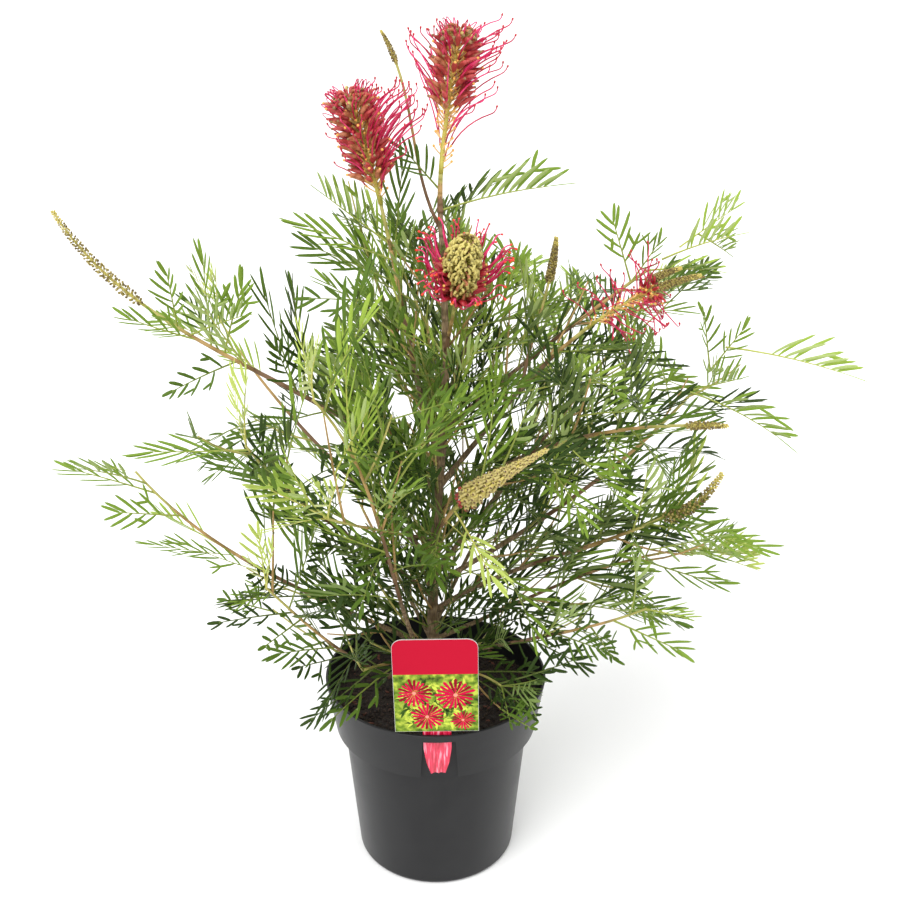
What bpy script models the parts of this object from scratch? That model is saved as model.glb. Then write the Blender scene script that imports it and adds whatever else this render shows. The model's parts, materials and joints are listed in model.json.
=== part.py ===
"""A raspberry dream grevillea, a flowering shrub, growing in its nursery pot.

Metres, +Z up. The origin is the middle of the pot's flat underside, the label faces -Y and +X is
the right-hand side of somebody who reads it. One trunk stands on the potting mix. Boughs leave it,
and each carries one mass of foliage; bud spikes and blooms sit on the tips.
"""

import itertools
import math
import random
from collections import namedtuple

import bmesh
import bpy
import numpy as np
from mathutils import Matrix, Vector
from mathutils.kdtree import KDTree

GAP = 0.0003                # clearance between neighbouring pieces
WELD = 0.00001
FLAT = 0.99999              # two faces whose normals agree this well lie in one plane

# Pot: a thin plastic bucket with a deep flared collar
POT_HEIGHT = 0.186
RIM_RADIUS = 0.1025
COLLAR_FOOT_HEIGHT = 0.136
COLLAR_FOOT_RADIUS = 0.0941
BODY_TOP_RADIUS = 0.0865
BASE_RADIUS = 0.0747
BASE_ROUNDING = 0.005
POT_WALL = 0.002
FLOOR_THICKNESS = 0.003
POT_STEPS = 40
DRAIN_RADIUS = 0.005
DRAIN_CIRCLE = 0.052
DRAIN_COUNT = 6

# Channel in the collar that the label's stake is pushed into, bridged by a strap at the rim
CHANNEL_MIDDLE = 0.004
CHANNEL_WIDTH = 0.033       # at the collar's foot; it narrows towards the rim
CHANNEL_TOP_WIDTH = 0.028
CHANNEL_BACK = 0.0900       # from the pot's axis to its sloping back wall, at the collar's foot
CHANNEL_TOP_BACK = 0.0950   # and at the rim
STRAP_HEIGHT = 0.007
STRAP_BACK = 0.0997         # from the pot's axis to the strap's inner face

# Potting mix
SOIL_TOP = 0.160

# Label: a plastic card on a stake, which leans out with the collar's wall
LABEL_THICKNESS = 0.0008
CARD_WIDTH = 0.072
CARD_HEIGHT = 0.099
CARD_FOOT = 0.1900          # height of the card's lower edge
CARD_CORNER = 0.007
STAKE_WIDTH = 0.026
STAKE_TIP_WIDTH = 0.015
STAKE_TIP_HEIGHT = 0.142
LABEL_LEAN = math.radians(6.5)
LABEL_ROLL = math.radians(2.0)

# Trunk: from the flat cut on the potting mix up to the fork under the top bloom
TRUNK_FOOT_X = 0.001
TRUNK_LEAN = 0.0055         # how far the fork stands to the right of the foot
TRUNK_TOP = 0.617
TRUNK_SWAY = Vector((0.0045, 0.003))
TRUNK_DIAMETER = 0.0115
TRUNK_TOP_DIAMETER = 0.0044
ROOT_FLARE = 0.006          # added to the diameter at the cut
ROOT_FLARE_HEIGHT = 0.010

PATH_STEPS = 32
GOLDEN_ANGLE = math.radians(137.5)
FORK = "fork"

# A limb leaves the trunk, the fork or another limb. Heading is the compass angle from +X towards
# +Y and rise the angle above level, in degrees; heading is given at foot and tip, rise at foot,
# middle and tip. Up to bare the limb is a bough, up to leafy it runs in its own foliage, and what
# is left over is its bud spike or bloom. Both are shares of its length. Leaf is the size of its
# leaves beside the full size; a limb of 0 has none, and is the bare stalk of its bloom.
Limb = namedtuple("Limb", "root heading rise length diameter bare leafy leaf")

LIMBS = {
    "left_long": Limb(0.368, (178, 178), (52, 29, 63), 0.404, 0.0056, 0.34, 0.74, 0.95),
    "left_mid": Limb(0.264, (206, 206), (49, 44, 59), 0.245, 0.0044, 0.38, 1.0, 1.0),
    "left_low": Limb(0.208, (191, 183), (34, 34, 56), 0.322, 0.0050, 0.36, 1.0, 1.0),
    "left_lowest": Limb(0.171, (214, 217), (22, 46, 53), 0.234, 0.0040, 0.35, 1.0, 1.0),
    "front_left": Limb(0.183, (254, 225), (40, 71, 49), 0.376, 0.0046, 0.38, 1.0, 0.95),
    "bloom_left": Limb(0.398, (196, 196), (72, 80, 68), 0.334, 0.0050, 0.30, 0.72, 0.9),
    "bloom_right": Limb(0.375, (352, 349), (53, 48, 15), 0.297, 0.0052, 0.46, 0.66, 0.9),
    "right_upper": Limb(0.428, (13, 14), (40, 35, 32), 0.305, 0.0046, 0.32, 1.0, 0.95),
    "right_long": Limb(0.276, (7, 5), (30, 39, 61), 0.354, 0.0054, 0.34, 1.0, 1.0),
    "right_mid": Limb(0.345, (355, 307), (51, 25, 16), 0.302, 0.0048, 0.36, 0.86, 0.95),
    "right_low": Limb(0.248, (8, -31), (36, 25, 58), 0.302, 0.0050, 0.34, 0.76, 1.0),
    "right_lower": Limb(0.219, (6, -8), (21, 26, 8), 0.257, 0.0042, 0.38, 1.0, 1.0),
    "right_lowest": Limb(0.195, (335, 340), (33, 24, 34), 0.221, 0.0040, 0.36, 1.0, 1.0),
    "front_bud": Limb(0.300, (270, 326), (56, 42, 38), 0.253, 0.0044, 0.22, 0.53, 0.9),
    "front_shoot": Limb(0.322, (246, 232), (30, 28, 31), 0.180, 0.0030, 0.0, 1.0, 0.9),
    "rim_left": Limb(0.198, (226, 232), (20, 15, -25), 0.160, 0.0030, 0.0, 1.0, 0.9),
    "rim_right": Limb(0.180, (312, 315), (38, 22, -10), 0.095, 0.0028, 0.0, 1.0, 0.8),
    "upright": Limb(("bloom_right", 0.40), (60, 60), (72, 56, 83), 0.132, 0.0032, 0.0, 0.70, 0.8),
    "bloom_mid": Limb(0.501, (285, 285), (56, 60, 55), 0.137, 0.0036, 0.0, 0.42, 0.0),
    "leader": Limb(FORK, (0, 0), (92, 82, 82), 0.148, 0.0042, 0.0, 0.47, 0.6),
    "leader_side": Limb(0.603, (150, 140), (54, 78, 47), 0.163, 0.0028, 0.0, 0.82, 0.45),
    "back_left_high": Limb(0.420, (128, 122), (52, 50, 58), 0.250, 0.0044, 0.34, 1.0, 1.0),
    "back_right_high": Limb(0.452, (58, 62), (52, 48, 55), 0.240, 0.0044, 0.34, 1.0, 1.0),
    "back_mid": Limb(0.335, (92, 96), (46, 40, 52), 0.320, 0.0050, 0.36, 1.0, 1.0),
    "back_left": Limb(0.300, (146, 140), (34, 32, 48), 0.320, 0.0050, 0.36, 1.0, 1.0),
    "back_right": Limb(0.285, (44, 40), (36, 34, 46), 0.330, 0.0050, 0.36, 1.0, 1.0),
    "back_low_left": Limb(0.215, (118, 116), (26, 24, 36), 0.270, 0.0042, 0.38, 1.0, 1.0),
    "back_low_right": Limb(0.230, (66, 62), (28, 25, 34), 0.280, 0.0042, 0.38, 1.0, 1.0),
}
TIP_DIAMETER = 0.0020
COLLAR_SWELL = 0.35         # share by which a bough is stouter where it leaves the trunk
COLLAR_LENGTH = 0.010
SQUARE_END = 0.003          # the last stretch before a spike or head, cut square to it

# Bud spikes: greatest diameter of the one that ends each limb
SPIKES = {
    "left_long": 0.0080,
    "upright": 0.0100,
    "right_mid": 0.0090,
    "right_low": 0.0130,
    "front_bud": 0.0250,
    "leader_side": 0.0060,
}

# These small spikes are fused to the twigs that carry them
FUSED_SPIKES = ("upright", "leader_side", "right_mid")

# Blooms: greatest diameter of the flower head, how far its styles reach from the axis, and the
# share of the head that is open; beyond that it goes on as a spike of closed buds
BLOOMS = {
    "leader": (0.050, 0.046, 1.0),
    "bloom_left": (0.050, 0.044, 1.0),
    "bloom_mid": (0.052, 0.044, 1.0),
    "bloom_right": (0.036, 0.044, 0.60),
}
CLOSED_DIAMETER = 0.013
STYLE_COUNT = 14
STYLE_DIAMETER = 0.0022
HEAD_SIDES = 8

# Leaves: a rib with slender lobes on both sides, raised in a shallow valley
LEAF_LENGTH = 0.134
LEAF_THICKNESS = 0.0015
RIB_WIDTH = 0.0030
LOBE_PAIRS = 3
LOBE_LENGTH = 0.050
LOBE_WIDTH = 0.0075
LOBE_ANGLE = math.radians(38)
LOBE_STAGGER = 0.009        # how far the lobes of one side stand on from those of the other
RIB_BARE = 0.20             # share of the rib below its first lobes
RIB_LOBED = 0.94            # share of the rib at which the lobes end
VALLEY_SLOPE = 0.38
LEAF_DROOP = 1.3            # sinking of the rib, per metre of length squared
LEAF_ROOT = 0.0030          # how far the rib runs on into its twig
LEAF_SPACING = 0.054
LEAF_ANGLE = math.radians(52)
LEAF_SIZES = (1.0, 0.8, 0.62)
LEAF_TURNS = (0, 50, -50, 100, -100, 180)
TWIG_EVERY = 3
TWIG_LENGTH = 0.052
TWIG_DIAMETER = 0.0026
TWIG_ANGLE = math.radians(42)
CLEARANCE = 0.0022          # what a leaf keeps from limbs and from the bounds of its space
LABEL_CLEARANCE = 0.006
CROWN_MIDDLE = Vector((0.010, 0.010, 0.410))
CROWN_RADII = Vector((0.325, 0.285, 0.270))     # the egg that the leaves stay in
SAMPLE_STEP = 0.007

# Leaves that reach past the rest of the crown: limb, share of its length, heading, rise, length
REACHING_LEAVES = (
    ("right_long", 0.86, 343, 3, 0.125),
    ("left_low", 0.86, 196, 28, 0.104),
    ("left_low", 0.64, 214, 20, 0.095),
    ("left_mid", 0.96, 200, 6, 0.100),
    ("left_long", 0.56, 136, 48, 0.110),
    ("left_long", 0.42, 140, 64, 0.104),
    ("right_upper", 0.60, 94, 52, 0.090),
    ("right_upper", 0.84, 36, 22, 0.085),
    ("leader", 0.05, 15, 16, 0.112),
    ("right_lower", 0.84, 347, 0, 0.112),
    ("right_lower", 0.72, 292, -38, 0.090),
    ("left_lowest", 0.92, 208, 18, 0.080),
    ("right_low", 0.72, 341, -10, 0.108),
    ("rim_left", 0.72, 248, 0, 0.080),
    ("rim_right", 0.76, 280, -16, 0.075),
)

COLOURS = {
    "charcoal plastic": ((0.030, 0.031, 0.034), 0.55),
    "potting mix": ((0.045, 0.024, 0.014), 0.95),
    "label card": ((0.560, 0.020, 0.060), 0.35),
    "bark": ((0.220, 0.130, 0.075), 0.85),
    "foliage": ((0.100, 0.200, 0.045), 0.60),
    "bloom": ((0.500, 0.035, 0.080), 0.55),
    "buds": ((0.300, 0.250, 0.080), 0.70),
}


def clear_scene():
    for thing in list(bpy.data.objects):
        bpy.data.objects.remove(thing)


def new_collection(name):
    collection = bpy.data.collections.new(name)
    bpy.context.scene.collection.children.link(collection)
    return collection


def paint(thing, finish):
    colour, roughness = COLOURS[finish]
    material = bpy.data.materials.new(thing.name + "_finish")
    material.use_nodes = True
    shader = material.node_tree.nodes["Principled BSDF"]
    shader.inputs["Base Color"].default_value = (*colour, 1.0)
    shader.inputs["Roughness"].default_value = roughness
    shader.inputs["Metallic"].default_value = 0.0
    thing.data.materials.clear()
    thing.data.materials.append(material)


def evaluated_mesh(thing):
    graph = bpy.context.evaluated_depsgraph_get()
    return bpy.data.meshes.new_from_object(thing.evaluated_get(graph))


def place(name, mesh, collection):
    thing = bpy.data.objects.new(name, mesh)
    collection.objects.link(thing)
    return thing


def curve_to_piece(name, curve, collection):
    """A curve made a closed mesh, with its caps welded on."""
    guide = place(name + "_curve", curve, collection)
    mesh = evaluated_mesh(guide)
    bpy.data.objects.remove(guide)
    shape = bmesh.new()
    shape.from_mesh(mesh)
    bmesh.ops.remove_doubles(shape, verts=shape.verts, dist=WELD)
    bmesh.ops.recalc_face_normals(shape, faces=shape.faces)
    shape.to_mesh(mesh)
    shape.free()
    return place(name, mesh, collection)


def rod(name, points, diameters, sides, collection):
    """A round limb through the points, as thick as its diameters say."""
    curve = bpy.data.curves.new(name, "CURVE")
    curve.dimensions = "3D"
    curve.bevel_depth = 0.5
    curve.bevel_resolution = (sides - 4) // 2
    curve.use_fill_caps = True
    spline = curve.splines.new("POLY")
    spline.points.add(len(points) - 1)
    for spot, point, diameter in zip(spline.points, points, diameters):
        spot.co = (*point, 1.0)
        spot.radius = diameter
    return curve_to_piece(name, curve, collection)


def flat_piece(name, outline, thickness, collection):
    """A flat outline in the XY plane, half its thickness above it and half below."""
    curve = bpy.data.curves.new(name, "CURVE")
    curve.dimensions = "2D"
    curve.fill_mode = "BOTH"
    curve.extrude = thickness / 2
    spline = curve.splines.new("POLY")
    spline.points.add(len(outline) - 1)
    for spot, (x, y) in zip(spline.points, outline):
        spot.co = (x, y, 0.0, 1.0)
    spline.use_cyclic_u = True
    return curve_to_piece(name, curve, collection)


def turned(name, profile, steps, collection):
    """A turned solid; the profile's (radius, height) pairs run down its outer side."""
    mesh = bpy.data.meshes.new(name)
    vertices = [(radius, 0.0, height) for radius, height in profile]
    mesh.from_pydata(vertices, [(i, i + 1) for i in range(len(profile) - 1)], [])
    thing = place(name, mesh, collection)
    screw = thing.modifiers.new("turn", "SCREW")
    screw.steps = screw.render_steps = steps
    screw.use_merge_vertices = True
    screw.merge_threshold = WELD
    screw.use_normal_calculate = False
    finished = evaluated_mesh(thing)
    bpy.data.objects.remove(thing)
    return place(name, finished, collection)


def box(name, low, high, collection):
    mesh = bpy.data.meshes.new(name)
    shape = bmesh.new()
    bmesh.ops.create_cube(shape, size=1.0)
    size = Vector(high) - Vector(low)
    middle = (Vector(high) + Vector(low)) / 2
    bmesh.ops.transform(shape, verts=shape.verts,
                        matrix=Matrix.Translation(middle) @ Matrix.Diagonal((*size, 1.0)))
    shape.to_mesh(mesh)
    shape.free()
    return place(name, mesh, collection)


def combine(thing, operation, others):
    """Cut the others out of a piece, or join them to it, and apply the result."""
    for solver in ("EXACT", "MANIFOLD"):
        for other in others:
            step = thing.modifiers.new(operation.lower(), "BOOLEAN")
            step.operation = operation
            step.object = other
            step.solver = solver
        mesh = evaluated_mesh(thing)
        thing.modifiers.clear()
        cut_into_triangles(mesh)
        if is_closed(mesh):
            break
    thing.data = mesh
    return thing


def is_closed(mesh):
    """Whether the mesh's triangles, with nearly touching corners welded, meet two at every edge."""
    mesh.calc_loop_triangles()
    if not mesh.loop_triangles:
        return False
    corners = np.array([vertex.co for vertex in mesh.vertices])
    _, welded = np.unique(np.round(corners / (WELD / 10)), axis=0, return_inverse=True)
    faces = welded.reshape(-1)[np.array([face.vertices for face in mesh.loop_triangles])]
    faces = faces[(faces != np.roll(faces, 1, axis=1)).all(axis=1)]
    ends = np.concatenate([faces[:, [0, 1]], faces[:, [1, 2]], faces[:, [2, 0]]])
    return bool((np.unique(np.sort(ends, axis=1), axis=0, return_counts=True)[1] == 2).all())


def fuse(name, pieces, collection):
    """One closed solid from a stem and the pieces sunk into it.

    Where neither solver closes it, it goes without the first piece that keeps it open.
    """
    stem, *rest = pieces
    joined = new_collection(name + "_pieces")
    for piece in rest:
        collection.objects.unlink(piece)
        joined.objects.link(piece)
    for left_off in [None] + rest:
        if left_off:
            joined.objects.unlink(left_off)
        mesh = closed_union(stem, joined)
        if is_closed(mesh):
            break
        if left_off:
            joined.objects.link(left_off)
    for piece in rest + [stem]:
        bpy.data.objects.remove(piece)
    bpy.data.collections.remove(joined)
    return place(name, mesh, collection)


def closed_union(stem, joined):
    """The stem and a collection's pieces as one mesh, by the first solver that closes it."""
    for solver in ("EXACT", "MANIFOLD"):
        union = stem.modifiers.new("fuse", "BOOLEAN")
        union.operation = "UNION"
        union.operand_type = "COLLECTION"
        union.collection = joined
        union.solver = solver
        mesh = evaluated_mesh(stem)
        stem.modifiers.clear()
        cut_into_triangles(mesh)
        if is_closed(mesh):
            break
    return mesh


def cut_into_triangles(mesh):
    """Weld nearly touching corners, cut the faces into triangles and keep only the largest body."""
    shape = bmesh.new()
    shape.from_mesh(mesh)
    bmesh.ops.remove_doubles(shape, verts=shape.verts, dist=WELD / 20)
    bmesh.ops.triangulate(shape, faces=shape.faces)
    part_shared_diagonals(shape)
    drop_scraps(shape)
    shape.to_mesh(mesh)
    shape.free()


def part_shared_diagonals(shape):
    """Where two faces were cut along the same line, cut one of them the other way across."""
    for edge in [edge for edge in shape.edges if len(edge.link_faces) == 4]:
        start, end = edge.verts
        for first, second in itertools.combinations(edge.link_faces, 2):
            left = next(corner for corner in first.verts if corner not in edge.verts)
            right = next(corner for corner in second.verts if corner not in edge.verts)
            across = right.co - left.co
            turn = across.cross(start.co - left.co).dot(first.normal)
            back = across.cross(end.co - left.co).dot(first.normal)
            flat = first.normal.dot(second.normal) > FLAT
            if flat and turn * back < 0 and not shape.edges.get((left, right)):
                if [loop.vert for loop in first.loops if loop.link_loop_next.vert == end] != [start]:
                    start, end = end, start
                bmesh.ops.delete(shape, geom=[first, second], context="FACES_ONLY")
                shape.faces.new((left, start, right))
                shape.faces.new((right, end, left))
                break


def drop_scraps(shape):
    """Keep the largest body, and drop loose scraps and sealed hollows."""
    unseen = set(shape.faces)
    bodies = []
    while unseen:
        body = {unseen.pop()}
        front = list(body)
        while front:
            for edge in front.pop().edges:
                for other in edge.link_faces:
                    if other in unseen:
                        unseen.discard(other)
                        body.add(other)
                        front.append(other)
        bodies.append(body)
    bodies.sort(key=len)
    scraps = [face for body in bodies[:-1] for face in body]
    bmesh.ops.delete(shape, geom=scraps, context="FACES")


def smooth(thing, angle=40):
    thing.data.shade_smooth()
    thing.data.set_sharp_from_angle(angle=math.radians(angle))


def finish(thing, name, colour, angle=40):
    thing.name = thing.data.name = name
    smooth(thing, angle)
    paint(thing, colour)
    return thing


# The pot, the potting mix and the label

def pot_inner_radius(height):
    """The pot's inner wall, which follows its outer wall one wall thickness in."""
    if height >= COLLAR_FOOT_HEIGHT:
        share = (height - COLLAR_FOOT_HEIGHT) / (POT_HEIGHT - COLLAR_FOOT_HEIGHT)
        return COLLAR_FOOT_RADIUS + share * (RIM_RADIUS - COLLAR_FOOT_RADIUS) - POT_WALL
    share = height / COLLAR_FOOT_HEIGHT
    return BASE_RADIUS + share * (BODY_TOP_RADIUS - BASE_RADIUS) - POT_WALL


def cavity_profile(top, inset):
    """Profile of what fills the pot up to a height, kept an inset from its wall."""
    step_low = COLLAR_FOOT_HEIGHT - 0.001
    step_high = COLLAR_FOOT_HEIGHT + 0.003
    floor = FLOOR_THICKNESS + inset
    return [
        (0.0, top),
        (pot_inner_radius(top) - inset, top),
        (pot_inner_radius(step_high) - inset, step_high),
        (pot_inner_radius(step_low) - inset, step_low),
        (pot_inner_radius(BASE_ROUNDING + floor) - inset, floor + BASE_ROUNDING),
        (pot_inner_radius(floor) - inset - BASE_ROUNDING, floor),
        (0.0, floor),
    ]


def channel_room(name, low, high, front, extra, collection):
    """The label channel's room between two heights, from a front plane to its back wall."""
    room = box(name, (-1.0, -front, low), (1.0, 0.0, high), collection)
    for corner in room.data.vertices:
        share = (corner.co.z - COLLAR_FOOT_HEIGHT) / (POT_HEIGHT - COLLAR_FOOT_HEIGHT)
        width = CHANNEL_WIDTH + share * (CHANNEL_TOP_WIDTH - CHANNEL_WIDTH)
        corner.co.x = CHANNEL_MIDDLE + math.copysign(width / 2 + extra, corner.co.x)
        if corner.co.y > -front / 2:
            corner.co.y = extra - CHANNEL_BACK - share * (CHANNEL_TOP_BACK - CHANNEL_BACK)
    return room


def channel_hump(inset, parts):
    """The wall round the label's channel, as it stands into the pot."""
    return channel_room("channel_hump", COLLAR_FOOT_HEIGHT - 0.004, POT_HEIGHT + 0.01,
                        RIM_RADIUS + 0.01, POT_WALL + inset, parts)


def make_pot(parts, cutters):
    rounding = BASE_ROUNDING * 0.29
    outer = turned("pot", [
        (0.0, POT_HEIGHT),
        (RIM_RADIUS - 0.0004, POT_HEIGHT),
        (RIM_RADIUS, POT_HEIGHT - 0.0005),
        (COLLAR_FOOT_RADIUS, COLLAR_FOOT_HEIGHT),
        (BODY_TOP_RADIUS, COLLAR_FOOT_HEIGHT - 0.0008),
        (BASE_RADIUS + 0.0004, BASE_ROUNDING),
        (BASE_RADIUS - rounding, rounding),
        (BASE_RADIUS - BASE_ROUNDING, 0.0),
        (0.0, 0.0),
    ], POT_STEPS, parts)
    cavity = turned("cavity", cavity_profile(POT_HEIGHT + 0.01, 0.0), POT_STEPS, cutters)
    combine(cavity, "DIFFERENCE", [channel_hump(0.0, cutters)])
    channel = channel_room("channel", COLLAR_FOOT_HEIGHT - 0.002, POT_HEIGHT - STRAP_HEIGHT,
                           RIM_RADIUS + 0.01, 0.0, cutters)
    slot = channel_room("slot", POT_HEIGHT - STRAP_HEIGHT - 0.001, POT_HEIGHT + 0.01,
                        STRAP_BACK, 0.0, cutters)
    drains = []
    for index in range(DRAIN_COUNT):
        angle = 2 * math.pi * (index + 0.5) / DRAIN_COUNT
        drain = turned("drain", [(0.0, 0.01), (DRAIN_RADIUS, 0.01), (DRAIN_RADIUS, -0.01), (0.0, -0.01)],
                       8, cutters)
        drain.data.transform(Matrix.Translation((DRAIN_CIRCLE * math.cos(angle),
                                                 DRAIN_CIRCLE * math.sin(angle), 0.0)))
        drains.append(drain)
    combine(outer, "DIFFERENCE", [cavity, channel, slot] + drains)
    return finish(outer, "pot", "charcoal plastic", 30)


def make_soil(parts, cutters):
    soil = turned("soil", cavity_profile(SOIL_TOP, GAP), POT_STEPS, parts)
    combine(soil, "DIFFERENCE", [channel_hump(GAP, cutters)])
    return finish(soil, "soil", "potting mix")


def make_label(parts):
    """Card and stake in one outline, drawn flat and stood up in the channel."""
    half = CARD_WIDTH / 2
    corner = []
    for index in range(5):
        angle = math.radians(90 * index / 4)
        corner.append((half - CARD_CORNER * (1 - math.cos(angle)),
                       CARD_HEIGHT - CARD_CORNER * (1 - math.sin(angle))))
    fall = CARD_FOOT - STAKE_TIP_HEIGHT
    right = [(STAKE_TIP_WIDTH / 2, -fall), (STAKE_WIDTH * 0.42, -fall * 0.72),
             (STAKE_WIDTH / 2, -fall * 0.40), (STAKE_WIDTH / 2, 0.0), (half, 0.0)] + corner
    outline = right + [(-x, y) for x, y in reversed(right)]
    label = flat_piece("label", outline, LABEL_THICKNESS, parts)
    strap_middle = POT_HEIGHT - STRAP_HEIGHT / 2
    seat = STRAP_BACK - GAP - LABEL_THICKNESS / 2 - STRAP_HEIGHT / 2 * math.tan(LABEL_LEAN)
    label.data.transform(
        Matrix.Translation((CHANNEL_MIDDLE, -seat, strap_middle))
        @ Matrix.Rotation(math.radians(90) + LABEL_LEAN, 4, "X")
        @ Matrix.Rotation(LABEL_ROLL, 4, "Z")
        @ Matrix.Translation((0.0, CARD_FOOT - strap_middle, 0.0)))
    return finish(label, "label", "label card")


# Trunk and limbs

def trunk_point(height):
    share = (height - SOIL_TOP) / (TRUNK_TOP - SOIL_TOP)
    return Vector((
        TRUNK_FOOT_X + TRUNK_LEAN * share + TRUNK_SWAY.x * math.sin(2 * math.pi * (share - 0.47)),
        TRUNK_SWAY.y * math.sin(2 * math.pi * share),
        height))


def trunk_diameter(height):
    share = (height - SOIL_TOP) / (TRUNK_TOP - SOIL_TOP)
    flare = ROOT_FLARE * math.exp(-(height - SOIL_TOP) / ROOT_FLARE_HEIGHT)
    return TRUNK_DIAMETER + share * (TRUNK_TOP_DIAMETER - TRUNK_DIAMETER) + flare


def trunk_rod(name, extra, collection):
    """The trunk, or with some extra thickness the tool that cuts limbs clear of it."""
    foot = SOIL_TOP + GAP
    heights = [foot, foot + 0.004, foot + 0.010, foot + 0.022]
    steps = 12
    heights += [heights[-1] + (TRUNK_TOP - heights[-1]) * (i + 1) / steps for i in range(steps)]
    points = [trunk_point(height) for height in heights]
    points[0].xy = points[1].xy
    if extra:
        points[0].z -= 0.01
        points[-1] = trunk_point(TRUNK_TOP) + Vector((0, 0, extra))
    diameters = [trunk_diameter(height) + 2 * extra for height in heights]
    return rod(name, points, diameters, 10, collection)


class Path:
    """The line a limb follows, in even steps from its root to its tip."""

    def __init__(self, root, limb):
        self.length = limb.length
        self.points = [root.copy()]
        for index in range(PATH_STEPS):
            step = limb_direction(limb, (index + 0.5) / PATH_STEPS) * (limb.length / PATH_STEPS)
            self.points.append(self.points[-1] + step)

    def at(self, share):
        place_on = min(max(share, 0.0), 1.0) * PATH_STEPS
        index = min(int(place_on), PATH_STEPS - 1)
        return self.points[index].lerp(self.points[index + 1], place_on - index)

    def direction(self, share):
        reach = 0.5 / PATH_STEPS
        ahead = self.at(share + reach) - self.at(share - reach)
        return ahead.normalized()


def limb_direction(limb, share):
    low, middle, high = (math.radians(angle) for angle in limb.rise)
    rise = (low * (1 - share) * (1 - 2 * share) + 4 * middle * share * (1 - share)
            + high * share * (2 * share - 1))
    heading = math.radians(limb.heading[0] + (limb.heading[1] - limb.heading[0]) * share)
    return Vector((math.cos(rise) * math.cos(heading), math.cos(rise) * math.sin(heading),
                   math.sin(rise)))


def limb_diameter(limb, share):
    taper = limb.diameter + share * (TIP_DIAMETER - limb.diameter)
    collar = COLLAR_SWELL * math.exp(-share * limb.length / COLLAR_LENGTH)
    return taper * (1 + collar)


def limb_rod(name, path, limb, start, end, steps, sides, collection, extra=0.0):
    shares = [start + (end - start) * i / steps for i in range(steps + 1)]
    if 0.5 < end < 1.0:
        shares.insert(-1, end - SQUARE_END / limb.length)
    points = [path.at(share) for share in shares]
    if extra:
        points[-1] = points[-1] + path.direction(end) * extra
    diameters = [limb_diameter(limb, share) + 2 * extra for share in shares]
    return rod(name, points, diameters, sides, collection)


def all_paths():
    """A path for each limb: those on the trunk and the fork first, then those on limbs."""
    paths = {}
    for name, limb in LIMBS.items():
        if limb.root == FORK:
            top = trunk_point(TRUNK_TOP)
            paths[name] = Path(top + limb_direction(limb, 0.0) * GAP, limb)
        elif isinstance(limb.root, tuple):
            carrier, share = limb.root
            paths[name] = Path(paths[carrier].at(share), limb)
        else:
            paths[name] = Path(trunk_point(limb.root), limb)
    return paths


def head_reach(name, share):
    """How much room a flower head needs round its axis, from its foot (0) to its tip (1)."""
    _, reach, open_share = BLOOMS[name]
    if share > open_share:
        return CLOSED_DIAMETER / 2
    return reach * min(1.0, max(0.06, (share / open_share - 0.10) / 0.30))


# Each mass of foliage keeps to its own space

class Space:
    """What is nearer to one limb than to any other, clear of all limbs, heads, pot and label."""

    def __init__(self, paths):
        self.limbs = {}
        for name, limb in LIMBS.items():
            shares = self.shares(limb, limb.bare, limb.leafy)
            self.limbs[name] = [paths[name].at(share) for share in shares]
        self.solid = [(trunk_point(SOIL_TOP + i * 0.004), None,
                       trunk_diameter(SOIL_TOP + i * 0.004) / 2)
                      for i in range(int((TRUNK_TOP - SOIL_TOP) / 0.004) + 1)]
        for name, limb in LIMBS.items():
            for share in self.shares(limb, 0.0, limb.leafy):
                owner = name if share >= limb.bare else None
                self.solid.append((paths[name].at(share), owner, limb_diameter(limb, share) / 2))
            for share in self.shares(limb, limb.leafy, 1.0):
                if name in SPIKES:
                    self.solid.append((paths[name].at(share), None, SPIKES[name] / 2 + 0.001))
                elif name in BLOOMS:
                    self.solid.append((paths[name].at(share), "head of " + name,
                                       head_reach(name, (share - limb.leafy) / (1 - limb.leafy))))
        self.widest = max(radius for _, _, radius in self.solid)
        self.solid_tree = KDTree(len(self.solid))
        for index, (point, _, _) in enumerate(self.solid):
            self.solid_tree.insert(point, index)
        self.solid_tree.balance()
        self.own = {name: self.tree(points) for name, points in self.limbs.items()}
        self.others = {
            name: self.tree([point for other, points in self.limbs.items() if other != name
                             for point in points])
            for name in self.limbs}

    @staticmethod
    def shares(limb, start, end):
        count = max(2, int((end - start) * limb.length / 0.004))
        return [start + (end - start) * i / count for i in range(count + 1)] if end > start else []

    @staticmethod
    def tree(points):
        tree = KDTree(len(points))
        for index, point in enumerate(points):
            tree.insert(point, index)
        tree.balance()
        return tree

    def clear_of_solids(self, point, name, margin=CLEARANCE):
        for _, index, distance in self.solid_tree.find_range(point, self.widest + margin):
            _, owner, radius = self.solid[index]
            if owner != name and distance < radius + margin:
                return False
        return clear_of_pot(point, margin)

    def holds(self, point, name):
        _, _, own = self.own[name].find(point)
        _, _, other = self.others[name].find(point)
        return own + CLEARANCE < other and self.clear_of_solids(point, name)


def clear_of_pot(point, margin):
    radius = point.xy.length
    if point.z < POT_HEIGHT + margin:
        inner = pot_inner_radius(point.z) - margin
        hump = abs(point.x - CHANNEL_MIDDLE) < CHANNEL_WIDTH and point.y < -CHANNEL_BACK + 0.008
        if radius > inner or hump:
            return radius > RIM_RADIUS + margin and point.z > 0.03
        return point.z > SOIL_TOP + margin
    label_wide = abs(point.x - CHANNEL_MIDDLE) < CARD_WIDTH / 2 + LABEL_CLEARANCE
    label_high = point.z < CARD_FOOT + CARD_HEIGHT + LABEL_CLEARANCE
    label_deep = -RIM_RADIUS - 0.018 < point.y < -STRAP_BACK + LABEL_CLEARANCE
    return not (label_wide and label_high and label_deep)


def in_crown(point):
    offset = point - CROWN_MIDDLE
    return sum((offset[i] / CROWN_RADII[i]) ** 2 for i in range(3)) < 1.0


# Foliage

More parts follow.
